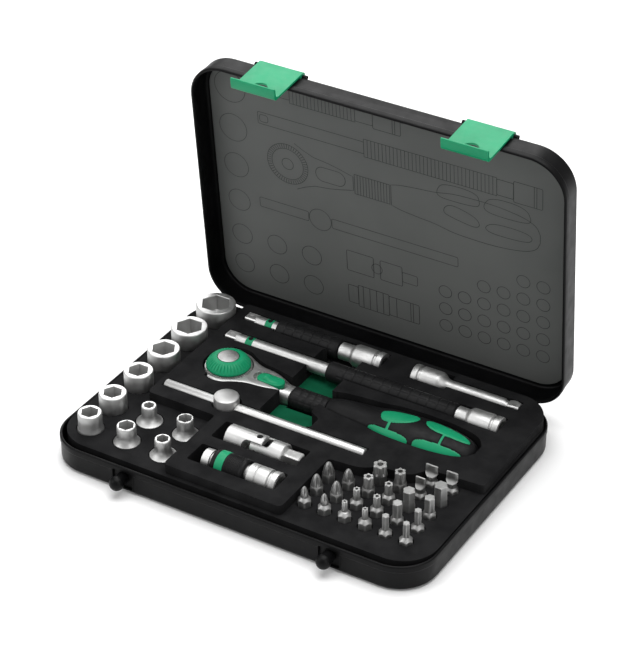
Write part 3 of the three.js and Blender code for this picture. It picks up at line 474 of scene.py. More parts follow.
def strap(name, x):
    """Green latch: one section across Y and Z, drawn closed, with a hole for the stud."""
    centre, r, steps = LATCH_PIVOT, 2.3, 22
    section = [(-76.3, 26.4)]
    for i in range(steps + 1):
        t = math.radians(-115 + 295 * i / steps)
        section.append((centre[0] + r * math.cos(t), centre[1] + r * math.sin(t)))
    section += [(-77.5, 6.0), (-77.6, 4.4), (-78.1, 3.3), (-79.0, 2.75), (-80.2, 2.6)]
    section += [(-82.4, 2.6), (-82.9, 2.4), (-83.0, 2.0), (-82.9, 1.6), (-82.4, 1.4)]
    section += [(-78.4, 1.4), (-77.3, 1.55), (-76.6, 2.1), (-76.35, 3.0)]
    made = build("strap_" + name, prism(section, x - 12.75, x + 12.75, "x"), GREEN)
    hole = tool(polar([(-79, 4.2), (-75, 4.2)], "y", (x, 0, STUD_HEIGHT), 48))
    bores = [tool(polar([(left, 1.1), (left + 3, 1.1)], "x", (0, *centre), 24)) for left in (x - 13.5, x + 10.5)]
    boolean(made, [hole, *bores])
    eased(made, 0.35, 3, 50)
    finish(made, name, [name], 38, OPEN)


# ---------- lid drawing: the tray's plan in thin lines ----------
DRAWING_HEIGHT = 26.24


def ribbon(points, width=0.34, closed=True):
    """Flat strip that follows the points in the panel's plane."""
    verts, faces = [], []
    count = len(points)
    for i, (x, y) in enumerate(points):
        a = points[i - 1] if closed or i else points[i]
        b = points[(i + 1) % count] if closed or i + 1 < count else points[i]
        dx, dy = b[0] - a[0], b[1] - a[1]
        size = math.hypot(dx, dy) or 1
        nx, ny = -dy / size * width / 2, dx / size * width / 2
        verts += [(x + nx, y + ny), (x - nx, y - ny)]
    for i in range(count if closed else count - 1):
        j = (i + 1) % count
        faces.append((2 * i, 2 * i + 1, 2 * j + 1, 2 * j))
    return verts, faces


def circle(x, y, r, n=40):
    return [(x + r * math.cos(TAU * i / n), y + r * math.sin(TAU * i / n)) for i in range(n)]


def lid_drawing(plans, strokes):
    """Tray plan on the panel: the tray's back is at the lid's free edge."""
    verts, faces = [], []
    for points, closed in [(p, True) for p in plans] + [(s, False) for s in strokes]:
        more, quads = ribbon(points, closed=closed)
        start = len(verts)
        verts += [(x, -y, DRAWING_HEIGHT) for x, y in more]
        faces += [tuple(start + i for i in quad) for quad in quads]
    # the lines are flat dark strips on the panel, painted as the shade of engraved grooves rather than cut as grooves
    finish(sheet("panel_drawing", (verts, faces), GROOVE_SHADE), "lid", (), 38, OPEN)


def drawn_cells():
    """A circle for each socket and bit."""
    plans = []
    for name in SOCKETS:
        x, y, _ = middle(name)
        lo, hi = span(name)
        plans.append(circle(x * 0.985, y * 0.97, (hi[0] - lo[0]) / 2 * 0.86))
    for name in BITS:
        x, y, _ = middle(name)
        plans.append(circle(x, y * 0.97, 3.7, 24))
    return plans, []


def drawn_ratchet():
    head, y = HEAD
    plans = [circle(head, y, 12.2, 56), circle(head, y, 9.4, 48), circle(head, y, 3.4, 28)]
    strokes = []
    for i in range(48):
        t = TAU * i / 48
        strokes.append([(head + r * math.cos(t), y + r * math.sin(t)) for r in (9.8, 12)])
    strokes.append(mirrored([(x, w) for x, w in FORK if x > -54]))
    plans.append(rounded(-41, -23.5, 15.6, 24.4, 4.3, 8))
    for i in range(13):
        x = -18 + 1.7 * i
        strokes.append([(x, 14), (x, 26)])
    strokes += [[(-18, 14), (2.6, 14)], [(-18, 26), (2.6, 26)]]
    plans.append(mirrored([(GRIP_START + a * GRIP_LENGTH, GRIP_HALF * s) for a, s in smooth(HANDLE, 60)]))
    for outline in ZONES:
        plans.append([(x, y + 0.9 * (s * 0.9)) for x, s in rounded_polygon(outline)])
    return plans, strokes


def drawn_tbar():
    return [circle(*DRUM, 6.6), rounded(-76.8, -47, -12.8, -6.8, 0.8, 3), rounded(-33, 40.9, -12.8, -6.8, 0.8, 3)], []


def drawn_extension(y, right, sleeve):
    left, start = EXTENSION_LEFT, right - COLLAR
    plans = [rounded(left, sleeve[0], y - 3.6, y + 3.6, 0.8, 3), rounded(sleeve[1], start, y - 4.7, y + 4.7, 0.8, 3),
             rounded(start, right, y - 6.2, y + 6.2, 0.8, 3), rounded(left + 1, left + 6, y - 2.2, y + 2.2, 1.4, 4)]
    strokes = [[(right - inset, y - 6.2), (right - inset, y + 6.2)] for inset in (4.6, 3.2)]
    length = sleeve[1] - sleeve[0]
    count = int(length / 2.1)
    for i in range(count + 1):
        x = sleeve[0] + i * length / count
        strokes.append([(x, y - 5.4), (x, y + 5.4)])
    strokes += [[(sleeve[0], y + s), (sleeve[1], y + s)] for s in (-5.4, 5.4)]
    return plans, strokes


def drawn_joint_and_adapter():
    plans = [rounded(-25, -9, -37, -24, 0.8, 3), rounded(-5, 8, -36.7, -24.3, 0.8, 3),
             rounded(8, 17, -33.6, -27.4, 1, 3), circle(-7, -30.5, 3.1, 24),
             rounded(-25, -19, -58, -46.6, 0.8, 3), rounded(-19, -0.5, -59.3, -45.3, 0.8, 3),
             rounded(-0.5, 17.5, -58.5, -46.1, 0.8, 3)]
    strokes = [[(x, -59.3), (x, -45.3)] for x in (-16, -12, -8, -4)]
    strokes += [[(x, -58.5), (x, -46.1)] for x in (4, 12.4, 13.9)]
    return plans, strokes


def drawing_lines():
    """Closed outlines and open strokes of the whole plan."""
    extensions = [drawn_extension(*place) for place in EXTENSIONS.values()]
    parts = [drawn_cells(), drawn_ratchet(), drawn_tbar(), *extensions, drawn_joint_and_adapter()]
    plans = [outline for part in parts for outline in part[0]]
    strokes = [stroke for part in parts for stroke in part[1]]
    return plans, strokes


# ---------- sockets ----------
SOCKETS = {
    "socket_9_16": 14.29, "socket_1_2": 12.7, "socket_7_16": 11.11, "socket_3_8": 9.53, "socket_11_32": 8.73,
    "socket_5_16": 7.94, "socket_9_32": 7.14, "socket_1_4": 6.35, "socket_7_32": 5.56, "socket_3_16": 4.76,
}
MOUTHS = {
    "socket_9_16": 21.4, "socket_1_2": 19.3, "socket_7_16": 17.2, "socket_3_8": 15.4, "socket_11_32": 14.4,
    "socket_5_16": 12.3, "socket_9_32": 9.8, "socket_1_4": 8.5, "socket_7_32": 8.2, "socket_3_16": 7.8,
}
SOCKET_BASE = 6.9    # radius of the drive end, unless the mouth is wider


def socket(name):
    flats, mouth = SOCKETS[name], MOUTHS[name] / 2
    x, y, _ = middle(name)
    low, high = span(name)[0][2], span(name)[1][2]
    base = max(mouth, SOCKET_BASE)
    stations = [(low, base - 0.5), (low + 0.15, base - 0.15), (low + 0.5, base)]
    if mouth < base:
        stations += [(low + 12.6, base), (low + 13.4, base - 0.12)]
        for i in range(1, 9):
            s = i / 8
            stations.append((low + 13.4 + 4.8 * s, mouth + (base - mouth - 0.12) * (1 - s) ** 2.6))
    else:
        stations += [(low + 11.4, base), (low + 11.7, base - 0.18), (low + 12.1, base)]
    wall = mouth - flats / math.sqrt(3)
    ease = min(0.55, wall * 0.5 + 0.15)
    stations += [(high - ease, mouth), (high - ease * 0.4, mouth - ease * 0.25), (high, mouth - ease * 0.8)]
    hexed = hexagon(flats)
    stations += [(high, hexagon(flats * 1.03)), (high - 0.3, hexed), (high - 9.2, hexed)]
    stations += [(high - 10, hexagon(flats * 0.8)), (high - 10, square(DRIVE)), (low, square(DRIVE))]
    made = build("turned_" + name, polar(stations, "z", (x, y, 0), 96, True), CHROME)
    finish(made, name, [name], 32)


# ---------- bits ----------
BITS = {
    "bit_cross_11": 1.9, "bit_cross_12": 2.9, "bit_cross_13": 3.1, "bit_cross_21": 1.9, "bit_cross_22": 2.9,
    "bit_cross_23": 2.9, "bit_lobe_31": 1.5, "bit_lobe_32": 1.9, "bit_lobe_33": 2.7, "bit_lobe_34": 3.65,
    "bit_lobe_41": 1.6, "bit_lobe_42": 2.0, "bit_lobe_43": 2.2, "bit_lobe_44": 2.9, "bit_hex_51": 1.9,
    "bit_hex_52": 2.6, "bit_hex_53": 3.2, "bit_slot_54": 2.5, "bit_slot_55": 3.2, "bit_hex_61": 1.8,
    "bit_hex_62": 1.9, "bit_hex_63": 2.7, "bit_hex_64": 3.5, "bit_slot_65": 3.0,
}


def cross(radius, depth):
    """Round section with four hollows between its wings."""
    def at(t):
        hollow = max(0.0, math.cos(4 * t + math.pi)) ** 0.8
        return radius * (1 - depth * hollow)
    return at


def blade(width, thick, corner):
    """Section that fits in a width by thick oblong and in a circle."""
    def at(t):
        return min(corner, width / max(abs(math.cos(t)), 1e-4), thick / max(abs(math.sin(t)), 1e-4))
    return at


def bit_stations(kind, radius, low, high):
    hex_top = low + (14.6 if high - low > 24.3 else 16.4)
    shank = hexagon(DRIVE)
    flare = DRIVE / math.sqrt(3)
    stations = [(low, hexagon(5.6)), (low + 0.5, shank), (hex_top - 0.3, shank)]
    neck = max(radius, 1.9) if kind != "slot" else 2.35
    if neck < 3.15:
        for i in range(5):
            s = i / 4
            bevel = flare - 0.15 - (flare - 0.15 - neck) * s
            stations.append((hex_top + 1.6 * s, lambda t, b=bevel: min(shank(t), b)))
    top = hex_top + 1.6
    if kind == "hex":
        key = hexagon(radius * math.sqrt(3))
        stations += [(top + 0.3, key), (high - 0.35, key), (high, lambda t: key(t) - 0.3)]
        return stations
    if kind == "lobe":
        star = flutes(radius, radius * 0.2, 6)
        stations += [(top + 0.2, radius), (high - 5.4, radius), (high - 4.4, star), (high - 0.3, star),
                     (high, lambda t: star(t) - 0.22), (high, radius * 0.42), (high - 2.6, radius * 0.4),
                     (high - 2.6, 0.01)]
        return stations
    if kind == "slot":
        stations += [(high - 6.2, 2.35)]
        for i in range(1, 11):
            s = i / 10
            thick = 0.5 + 2.1 * (1 - math.sin(s * math.pi / 2)) ** 1.3
            wide = 2.35 + (radius - 2.35) * min(1, s * 2.2)
            stations.append((high - 6.2 + 3.2 * s, blade(wide, thick, wide * 1.02)))
        stations += [(high - 0.12, blade(radius, 0.5, radius * 1.05)), (high, blade(radius - 0.12, 0.42, radius))]
        return stations
    length = radius * 2.6
    stations += [(high - length - 0.8, radius)]
    for i in range(1, 15):
        s = i / 14
        stations.append((high - length + length * s,
                         cross(radius * math.sqrt(max(0.02, 1 - 0.98 * s ** 1.7)), 0.42 * min(1, s * 3))))
    return stations


def bit(name):
    kind = name.split("_")[1]
    x, y, _ = middle(name)
    low, high = span(name)[0][2], span(name)[1][2]
    shape = polar(bit_stations(kind, BITS[name], low, high), "z", (x, y, 0), 48)
    finish(build("ground_" + name, shape, STEEL), name, [name], 32)


# ---------- ratchet ----------
FORK = [(-62.5, 14.0), (-57.8, 15.0), (-53, 14.3), (-48, 11.5), (-42, 9.0), (-33, 7.8), (-26, 6.2), (-21, 4.8),
        (-18.8, 4.4)]
HANDLE = [(0, 0.5), (0.06, 0.61), (0.18, 0.71), (0.3, 0.79), (0.42, 0.95), (0.54, 1), (0.68, 1), (0.8, 0.93),
          (0.9, 0.8), (0.96, 0.62), (0.99, 0.4), (1, 0.2)]
ZONES = [
    [(33, -5), (37, -14), (44, -22), (51, -28), (54, -16), (52, 6), (46, 20), (38, 30), (34, 18)],
    [(30, 46), (40, 44), (52, 48), (54, 62), (52, 100), (33, 100), (29.5, 70)],
    [(56.5, -20), (60, -30), (72, -30), (81, -24), (83, -8), (81, 4), (76, 9), (68, 10), (61, 6), (57.5, -6)],
    [(57, 42), (68, 38), (80, 42), (82.5, 56), (79, 98), (60, 100), (55.5, 64)],
]
BRIDGES = [((40.6, 20), (40.6, 54)), ((69.5, 4), (69.5, 46))]
AXIS = (0, 20.0, 13.1)
HEAD = (-57.8, 20)
GRIP_START, GRIP_LENGTH = 3.2, 83.8
GRIP_HALF, GRIP_HALF_HEIGHT = 12.4, 11.2
ARC = 0.21    # a degree round the handle, in millimetres


def mirrored(stations):
    """Outline from (x, half width) stations on both sides of the ratchet's axis."""
    y = AXIS[1]
    return [(x, y + w) for x, w in stations] + [(x, y - w) for x, w in reversed(stations)]


def smooth(stations, count):
    """Even points on a soft curve through (position, value) stations."""
    def value(x):
        for i in range(len(stations) - 1):
            (x0, v0), (x1, v1) = stations[i], stations[i + 1]
            if x <= x1 or i + 2 == len(stations):
                before = stations[max(i - 1, 0)]
                after = stations[min(i + 2, len(stations) - 1)]
                m0 = (v1 - before[1]) / ((x1 - before[0]) or 1)
                m1 = (after[1] - v0) / ((after[0] - x0) or 1)
                h = x1 - x0
                s = (x - x0) / h
                return (v0 * (2 * s ** 3 - 3 * s ** 2 + 1) + v1 * (3 * s ** 2 - 2 * s ** 3)
                        + h * m0 * (s ** 3 - 2 * s ** 2 + s) + h * m1 * (s ** 3 - s ** 2))
    first, last = stations[0][0], stations[-1][0]
    places = [first + (last - first) * i / count for i in range(count + 1)]
    return [(x, value(x)) for x in places]


def rounded_polygon(points):
    """(x, arc) outline of a grip zone, softened by corner cutting."""
    line = [(x, phi * ARC) for x, phi in points]
    for _ in range(3):
        cut = []
        for i, (x, s) in enumerate(line):
            nx, ns = line[(i + 1) % len(line)]
            cut += [(x * 0.75 + nx * 0.25, s * 0.75 + ns * 0.25),
                    (x * 0.25 + nx * 0.75, s * 0.25 + ns * 0.75)]
        line = cut
    return line


def inside_distance(x, s, line):
    """Signed distance to a closed outline, positive inside."""
    best, inside = 1e9, False
    for i, (ax, ay) in enumerate(line):
        bx, by = line[(i + 1) % len(line)]
        dx, dy = bx - ax, by - ay
        k = max(0.0, min(1.0, ((x - ax) * dx + (s - ay) * dy) / (dx * dx + dy * dy)))
        best = min(best, math.hypot(x - ax - k * dx, s - ay - k * dy))
        if (ay > s) != (by > s) and x < ax + (s - ay) / (by - ay) * dx:
            inside = not inside
    return best if inside else -best


def grip_distance(x, phi, lines):
    turned = (phi + 50) % 180 - 50
    s = turned * ARC
    best = max(inside_distance(x, s, line) for line in lines)
    for (x0, p0), (_, p1) in BRIDGES:
        if p0 < turned < p1:
            best = max(best, 0.75 - abs(x - x0))
    return best


def handle():
    count, around = 230, 200
    lines = [rounded_polygon(zone) for zone in ZONES]
    body = smooth(HANDLE, count)
    rings, marks = [], []
    for along, share in body:
        x = GRIP_START + along * GRIP_LENGTH
        slender = min(1, max(0, (share - 0.5) / 0.5))
        width = GRIP_HALF * share
        height = width * (1 - slender * (1 - GRIP_HALF_HEIGHT / GRIP_HALF))
        ring = []
        for i in range(around):
            t = TAU * i / around
            phi = math.degrees(math.pi / 2 - t) % 360
            d = grip_distance(x, -phi % 360, lines) if 28 < x < 86 else -9
            groove = -0.28 * math.exp(-(d / 0.32) ** 2) + (0.1 if d > 0.4 else 0)
            k = 1 + groove / max(width, 1)
            ring.append((x, AXIS[1] + width * k * math.cos(t), AXIS[2] + height * k * math.sin(t)))
            marks.append(1 if d > 0.1 else 0)
        rings.append(ring)
    verts, faces = loft(rings)
    index = [marks[face[0]] if len(face) == 4 else 0 for face in faces]
    made = build("grip", (verts, faces, index), [BLACK, GREEN])
    finish(made, "ratchet", ["ratchet_handle"], 50)


def fork():
    rings = []
    for x, half in smooth(FORK, 76):
        s = min(1, max(0, (x + 36) / 16))
        s = s * s * (3 - 2 * s)
        power = 9 - 6.6 * s
        top, bottom = 6.2 - 1.3 * s, -3.6 - 1.0 * s
        half = max(half, 5.5)
        ring = []
        for i in range(72):
            t = TAU * i / 72
            c, d = math.cos(t), math.sin(t)
            y = half * math.copysign(abs(c) ** (2 / power), c)
            z = (top + bottom) / 2 + (top - bottom) / 2 * math.copysign(abs(d) ** (2 / power), d)
            ring.append((x, AXIS[1] + y, AXIS[2] + z))
        rings.append(ring)
    body = build("fork", loft(rings), CHROME)
    ring = tool(polar([(0, 13.2), (30, 13.2)], "z", (*HEAD, 0), 128))
    slot = tool(prism(rounded(-42.0, -22.0, 15.9, 24.1, 4.05, 12), 16.5, 30))
    boolean(body, [ring, slot])
    eased(body, 0.3, 2, 50)
    finish(body, "ratchet", ["ratchet_fork"], 34)
    core = polar([(-19, 3.6), (27, 3.6)], "x", AXIS, 40)
    finish(build("fork_core", core, CHROME), "ratchet")


def drive_square(low, high):
    """Male drive, narrower at its end."""
    full = rounded_square(DRIVE, 4.15)
    return [(low, rounded_square(5.4, 3.6)), (low + 0.6, full), (high, full)]


def ratchet_head():
    at = (*HEAD, 0)
    low = span("ratchet_head")[0][2]
    disc = [(7.9, 9.5), (8.4, 10.6), (9.5, 11.8), (10.5, 12.8), (16.1, 12.8), (18.6, 12.42), (18.65, 12.2),
            (18.9, flutes(12.45, 0.5, 60)), (19.4, flutes(12.4, 0.5, 60)), (19.42, 3.9), (21.4, 3.9)]
    finish(build("head_disc", polar(disc, "z", at, 360), CHROME), "ratchet_head", ["ratchet_head"], 34)
    drive = polar(drive_square(low, 9.0), "z", at, 64)
    finish(build("head_square", drive, CHROME), "ratchet_head", (), 34)


def ratchet_dial():
    stations = [(19.82, 4.3), (19.82, 11.5), (20.0, 11.75), (20.4, 11.75)]
    for i in range(15):
        s = i / 14
        radius = 11.7 - 5.1 * s ** 1.25
        z = 20.6 + 4.2 * math.sin(s * math.pi / 2 * 0.98) ** 0.92
        cut = 0.75 * math.sin(math.pi * min(1, max(0, s * 1.1))) ** 0.5
        stations.append((z, grooves(radius, cut, 36)))
    stations += [(24.9, 6.3), (24.9, 5.85), (21.9, 5.85), (21.9, 4.3)]
    made = build("fluted_dial", polar(stations, "z", (*HEAD, 0), 320, True), GREEN)
    finish(made, "ratchet_dial", ["ratchet_dial"], 40)


def ratchet_button():
    stations = [(17.3, 1.2), (23.2, 1.2), (23.2, 5.5), (24.7, 5.5), (25.0, 5.42)]
    for i in range(1, 11):
        s = i / 10
        stations.append((25.0 + 0.78 * (1 - (1 - s) ** 2), 5.42 * (1 - s) + 0.02 * s))
    finish(build("domed_button", polar(stations, "z", (*HEAD, 0), 72), CHROME),
           "ratchet_button", ["ratchet_button"], 45)


def ratchet_switch():
    plate = build("thumb_switch", prism(rounded(-39.7, -24.3, 16.3, 23.7, 3.6, 12), 16.8, 19.6), GREEN)
    eased(plate, 0.5, 3, 50)
    frozen(plate)
    across = [-1 + 2 * k / 12 for k in range(13)]
    y = AXIS[1]
    hump = []
    for i in range(15):
        s = i / 14
        x = -38.6 + 12.0 * s
        lift = 1.45 * math.exp(-((s - 0.33) / 0.17) ** 2) + 0.55 * math.sin(math.pi * s) ** 0.6
        half = 2.95 * (0.72 + 0.28 * math.sin(math.pi * s))
        over = [(x, y + w * half, 19.2 + (lift + 0.3) * (1 - abs(w) ** 4)) for w in across]
        under = [(x, y + w * half, 18.2) for w in reversed(across)]
        hump.append(over + under)
    finish(plate, "ratchet_switch", ["ratchet_switch"], 40)
    finish(build("thumb_ridge", loft(hump), GREEN), "ratchet_switch", (), 60)


def ratchet_sleeve():
    ribs = grooves(6.0, 0.16, 14)
    stations = [(-18.2, 3.95), (-18.2, 5.5), (-17.9, 5.85), (-17.3, 6.0)]
    for x in (-13.4, -9.2, -5.0, -0.8):
        stations += [(x - 0.4, ribs), (x - 0.12, 5.78), (x + 0.12, 5.78), (x + 0.4, ribs)]
    stations += [(1.7, 6.0), (2.3, 5.8), (2.6, 5.4), (2.6, 3.95)]
    finish(build("spin_sleeve", polar(stations, "x", AXIS, 112, True), GUNMETAL),
           "ratchet_sleeve", ["ratchet_sleeve"], 40)


# ---------- T-bar ----------
DRUM, ROD_HEIGHT = (-40, -9.8), 18.2


def tbar():
    at, drum_at = (0, DRUM[1], ROD_HEIGHT), (*DRUM, 0)
    rod = [(-76.8, 2.3), (-76.6, 2.7), (-76.2, 3.0), (40.3, 3.0), (40.7, 2.7), (40.9, 2.3)]
    finish(build("sliding_rod", polar(rod, "x", at, 48), ROLLED), "tbar", ["tbar_rod"], 40)
    drum = [(12.0, 5.6), (12.2, 6.2), (12.7, 6.6), (23.6, 6.6), (24.1, 6.35), (24.4, 5.7)]
    made = build("drum", polar(drum, "z", drum_at, 96), CHROME)
    boolean(made, [tool(polar(drive_square(4.5, 12.5), "z", drum_at, 64))], "UNION")
    boolean(made, [tool(polar([(-50, 3.3), (-30, 3.3)], "x", at, 48))])
    finish(made, "tbar_head", ["tbar_head"], 34)


# ---------- extensions ----------
# middle line, mouth end and the ends of the sleeve
EXTENSIONS = {"long_extension": (44.2, 88.2, (-11.6, 63.2)), "short_extension": (63.8, 10, (-54, -16))}
EXTENSION_LEFT, BAR_HEIGHT, COLLAR = -74, 17.6, 15.8
SIZE_BAND = (-61.5, 4.5)    # start and length


def tip_square(left, right, at, side=6.15):
    """Square drive end with eased corners, along X."""
    full, small = rounded_square(side, side * 0.64), rounded_square(side - 0.9, side * 0.54)
    return polar([(left, small), (left + 0.5, full), (right, full)], "x", at, 64)


def socket_end(right, r=6.2):
    """Grooved outside, then the square mouth; heights run outward and back in."""
    mouth = square(DRIVE)
    return [(right - 5.1, r), (right - 4.8, r - 0.25), (right - 4.6, r - 0.75), (right - 3.6, r - 0.75),
            (right - 3.4, r - 0.25), (right - 3.1, r), (right - 0.6, r), (right - 0.2, r - 0.2), (right, r - 0.6),
            (right, lambda t: max(mouth(t), 4.3)), (right - 0.7, mouth), (right - 9, mouth), (right - 9, 0.02)]


def extension(name):
    _, y, _ = middle(name)
    _, right, sleeve = EXTENSIONS[name]
    at = (0, y, BAR_HEIGHT)
    start = right - COLLAR
    shaft = [(-68.6, 2.6), (-67.6, 3.7), (sleeve[1] + 0.3, 3.7), (sleeve[1] + 0.7, 4.7), (start - 3.2, 4.7)]
    for i in range(1, 7):
        s = i / 6
        shaft.append((start - 3.2 + 3.2 * s, 4.7 + 1.5 * (1 - math.cos(s * math.pi)) / 2))
    shaft += socket_end(right)
    body = build("shaft_" + name, polar(shaft, "x", at, 64), ROLLED)
    finish(body, name, [name], 34)
    tip = build("tip_" + name, tip_square(EXTENSION_LEFT, -67, at), CHROME)
    dimple = tool(polar([(20.2, 1.1), (21.2, 1.35)], "z", (-71.2, y, 0), 32))
    boolean(tip, [dimple])
    finish(tip, name, (), 34)
    x, length = SIZE_BAND
    band = polar([(x, 3.66), (x + 0.3, 3.82), (x + length - 0.3, 3.82), (x + length, 3.66)], "x", at, 48)
    finish(build("size_band_" + name, band, GREEN), name, (), 40)
    # a dark plug stands for the release hole: painted shade, not a drilled hole
    hole = polar([(20.6, 1.35), (21.5, 1.35)], "z", (x + length / 2, y, 0), 28)
    finish(build("release_hole_painted_shade_" + name, hole, HOLE_SHADE), name, (), 40)


def ribbed(left, right, r, plain):
    """Sleeve with rows of raised blocks between smooth bands."""
    def radius(x):
        def at(t):
            if x < left + plain[0] or x > right - plain[1]:
                return r
            ring = (x - left) % 5.4
            gap = min(abs(ring), abs(5.4 - ring))
            depth = 0.3 * max(0.0, 1 - (gap / 0.4) ** 2)
            slit = (t * 9 / TAU) % 1
            side = min(slit, 1 - slit)
            depth = max(depth, 0.2 * max(0.0, 1 - (side / 0.09) ** 2))
            return r - depth
        return at
    stations = [(left, 4.0), (left, r - 0.9), (left + 0.35, r - 0.35), (left + 1.0, r)]
    steps = int((right - left - 2) / 0.28)
    for i in range(1, steps):
        x = left + 1 + (right - left - 2) * i / steps
        stations.append((x, radius(x)))
    stations += [(right - 1.0, r), (right - 0.35, r - 0.35), (right, r - 0.9), (right, 4.0)]
    return stations


def extension_sleeve(extension_name, plain_left):
    name = extension_name + "_sleeve"
    _, y, _ = middle(name)
    stations = ribbed(*EXTENSIONS[extension_name][2], 5.4, (plain_left, 3))
    made = build("ribbed_" + name, polar(stations, "x", (0, y, BAR_HEIGHT), 96, True), GUNMETAL)
    finish(made, name, [name], 40)


def wobble():
    _, y, _ = middle("wobble_extension")
    at = (0, y, BAR_HEIGHT)
    left, right = 28.0, 88.6
    mouth = square(DRIVE)
    stations = [(left + 9, 0.02), (left + 9, mouth), (left + 0.7, mouth), (left, lambda t: max(mouth(t), 4.3)),
                 (left, 5.6), (left + 0.2, 6.0), (left + 0.6, 6.2), (left + 3.1, 6.2), (left + 3.4, 5.95),
                 (left + 3.6, 5.45), (left + 4.6, 5.45), (left + 4.8, 5.95), (left + 5.1, 6.2), (left + 14.6, 6.2)]
    for i in range(1, 11):
        s = i / 10
        stations.append((left + 14.6 + 6 * s, 6.2 - 2.7 * (1 - math.cos(s * math.pi)) / 2))
    stations += [(right - 9, 3.5), (right - 7.4, 2.6), (right - 6.4, 2.6)]
    for i in range(9):
        s = i / 8
        bulge = math.sin(math.pi * (0.12 + 0.8 * s))
        stations.append((right - 6.2 + 6.2 * s, rounded_square(5.0 + 1.15 * bulge, 2.9 + 1.0 * bulge)))
    finish(build("swivel_bar", polar(stations, "x", at, 64), ROLLED), "wobble_extension", ["wobble_extension"], 34)


# ---------- universal joint ----------
JOINT = (-7, -30.5, 17.8)


def yoke(name, node, radius, end, across, sign, mouth):
    """Round body with two rounded ears; sign -1 points its body left."""
    cx, cy, cz = JOINT
    tip = cx + sign * end
    ear = cx - sign * 3.2
    inner = [(ear, radius - 0.4), (ear + sign * 0.4, radius), (tip - sign * 0.5, radius), (tip, radius - 0.5)]
    body = build(name, polar(inner, "x", (0, cy, cz), 96), CHROME)
    cuts = []
    web = cx + sign * 7.6
    lo, hi = sorted((ear - sign * 1.2, web))
    gap = rounded(lo - 4 if sign > 0 else lo, hi if sign > 0 else hi + 4, -3.4, 3.4, 2.6, 8)
    wide = radius + 1
    if across == "z":
        cuts.append(tool(prism([(a, cz + b) for a, b in gap], cy - wide, cy + wide, "y")))
    else:
        cuts.append(tool(prism([(a, cy + b) for a, b in gap], cz - wide, cz + wide, "z")))
    for side in (-1, 1):
        a, b = sorted((side * 4.0, side * (wide + 6)))
        relief = rounded(lo - 6 if sign > 0 else lo, hi if sign > 0 else hi + 6, a, b, 2.9, 8)
        if across == "z":
            cuts.append(tool(prism([(p, cy + q) for p, q in relief], cz - wide, cz + wide, "z")))
        else:
            cuts.append(tool(prism([(p, cz + q) for p, q in relief], cy - wide, cy + wide, "y")))
    cuts.append(tool(polar([(-20, 1.65), (20, 1.65)], across, (cx, cy, cz), 32)))
    if mouth:
        cuts.append(tool(polar([(tip - sign * 9, square(DRIVE)), (tip + sign, square(DRIVE))], "x", (0, cy, cz), 64)))
    boolean(body, cuts)
    eased(body, 0.3, 3, 45)
    finish(body, node, [node], 34)


def universal_joint():
    x, y, z = JOINT
    yoke("yoke_socket", "joint_socket", 6.5, 18, "z", -1, True)
    yoke("yoke_drive", "joint_drive", 6.2, 15, "y", 1, False)
    tip = build("joint_tip", tip_square(-17, -7.5, (0, 0, 0)), CHROME)
    tip.data.transform(Matrix.Translation(Vector((0, y, z)) * MM) @ Matrix.Rotation(math.pi, 4, "Z"))
    finish(tip, "joint_drive", (), 34)
    cube = build("joint_centre", block((-10.1, -3.9), (-33.6, -27.4), (14.7, 20.9)), GUNMETAL)
    eased(cube, 0.5, 3, 45)
    frozen(cube)
    pins = [tool(polar([(11.7, 1.0), (12.0, 1.35), (23.6, 1.35), (23.9, 1.0)], "z", (x, y, 0), 32)),
            tool(polar([(-36.3, 1.0), (-36.0, 1.35), (-25.0, 1.35), (-24.7, 1.0)], "y", (x, 0, z), 32))]
    boolean(cube, pins, "UNION")
    cube.data.materials.clear()
    cube.data.materials.append(GUNMETAL)
    finish(cube, "joint_cross", ["joint_cross"], 34)


# ---------- bit adapter ----------
def adapter():
    at = (0, -52.3, 18)
    hexed = hexagon(DRIVE)
    stations = [(-15, 0.02), (-15, hexed), (-24.4, hexed), (-25, lambda t: max(hexed(t), 4.0)), (-25, 4.9),
                (-24.6, 5.4), (-20.6, 5.5), (-20.5, 4.6), (1.3, 4.6), (1.3, 5.8), (1.7, 6.2), (5.6, 6.2), (5.9, 5.9),
                (6.2, 5.9), (6.5, 6.2)]
    stations += socket_end(17.5)
    finish(build("adapter_core", polar(stations, "x", at, 72), CHROME), "adapter", ["adapter_body"], 34)
    shell = [(-19, 4.9), (-19, 6.3), (-18.7, 6.7), (-18.2, 6.9), (-16.9, 6.9), (-16.8, 6.75), (-16.4, 6.75)]
    ring = [(-16.3, 6.6), (-16.3, 6.95), (-16.1, 7.0), (-12.0, 7.0), (-11.8, 6.95), (-11.8, 6.6)]
    shell += [(-11.7, 6.7), (-11.5, 6.9)]
    for i in range(9):
        x = -10.6 + i * 0.9
        shell += [(x, 6.9), (x + 0.2, 6.72), (x + 0.4, 6.72), (x + 0.6, 6.9)]
    shell += [(-1.4, 6.95), (-0.9, 6.8), (-0.5, 6.3), (-0.5, 4.9)]
    finish(build("grip_sleeve", polar(shell, "x", at, 96, True), BLACK), "adapter_sleeve", ["adapter_sleeve"], 40)
    finish(build("colour_ring", polar(ring, "x", at, 96, True), GREEN), "adapter_sleeve", (), 40)


# ---------- foam tray ----------
ABOVE_FOAM, RECESS_FLOOR = 21, 10.7


def shelf_pockets():
    """Round pockets for the sockets and bits."""
    cuts = []
    for name in SOCKETS:
        x, y, _ = middle(name)
        radius = max(MOUTHS[name] / 2, SOCKET_BASE) + 0.4
        cuts.append(polar([(0, radius), (ABOVE_FOAM, radius)], "z", (x, y, 0), 64))
    for name in BITS:
        x, y, _ = middle(name)
        cuts.append(polar([(0, 3.8), (ABOVE_FOAM, 3.8)], "z", (x, y, 0), 32))
    return cuts


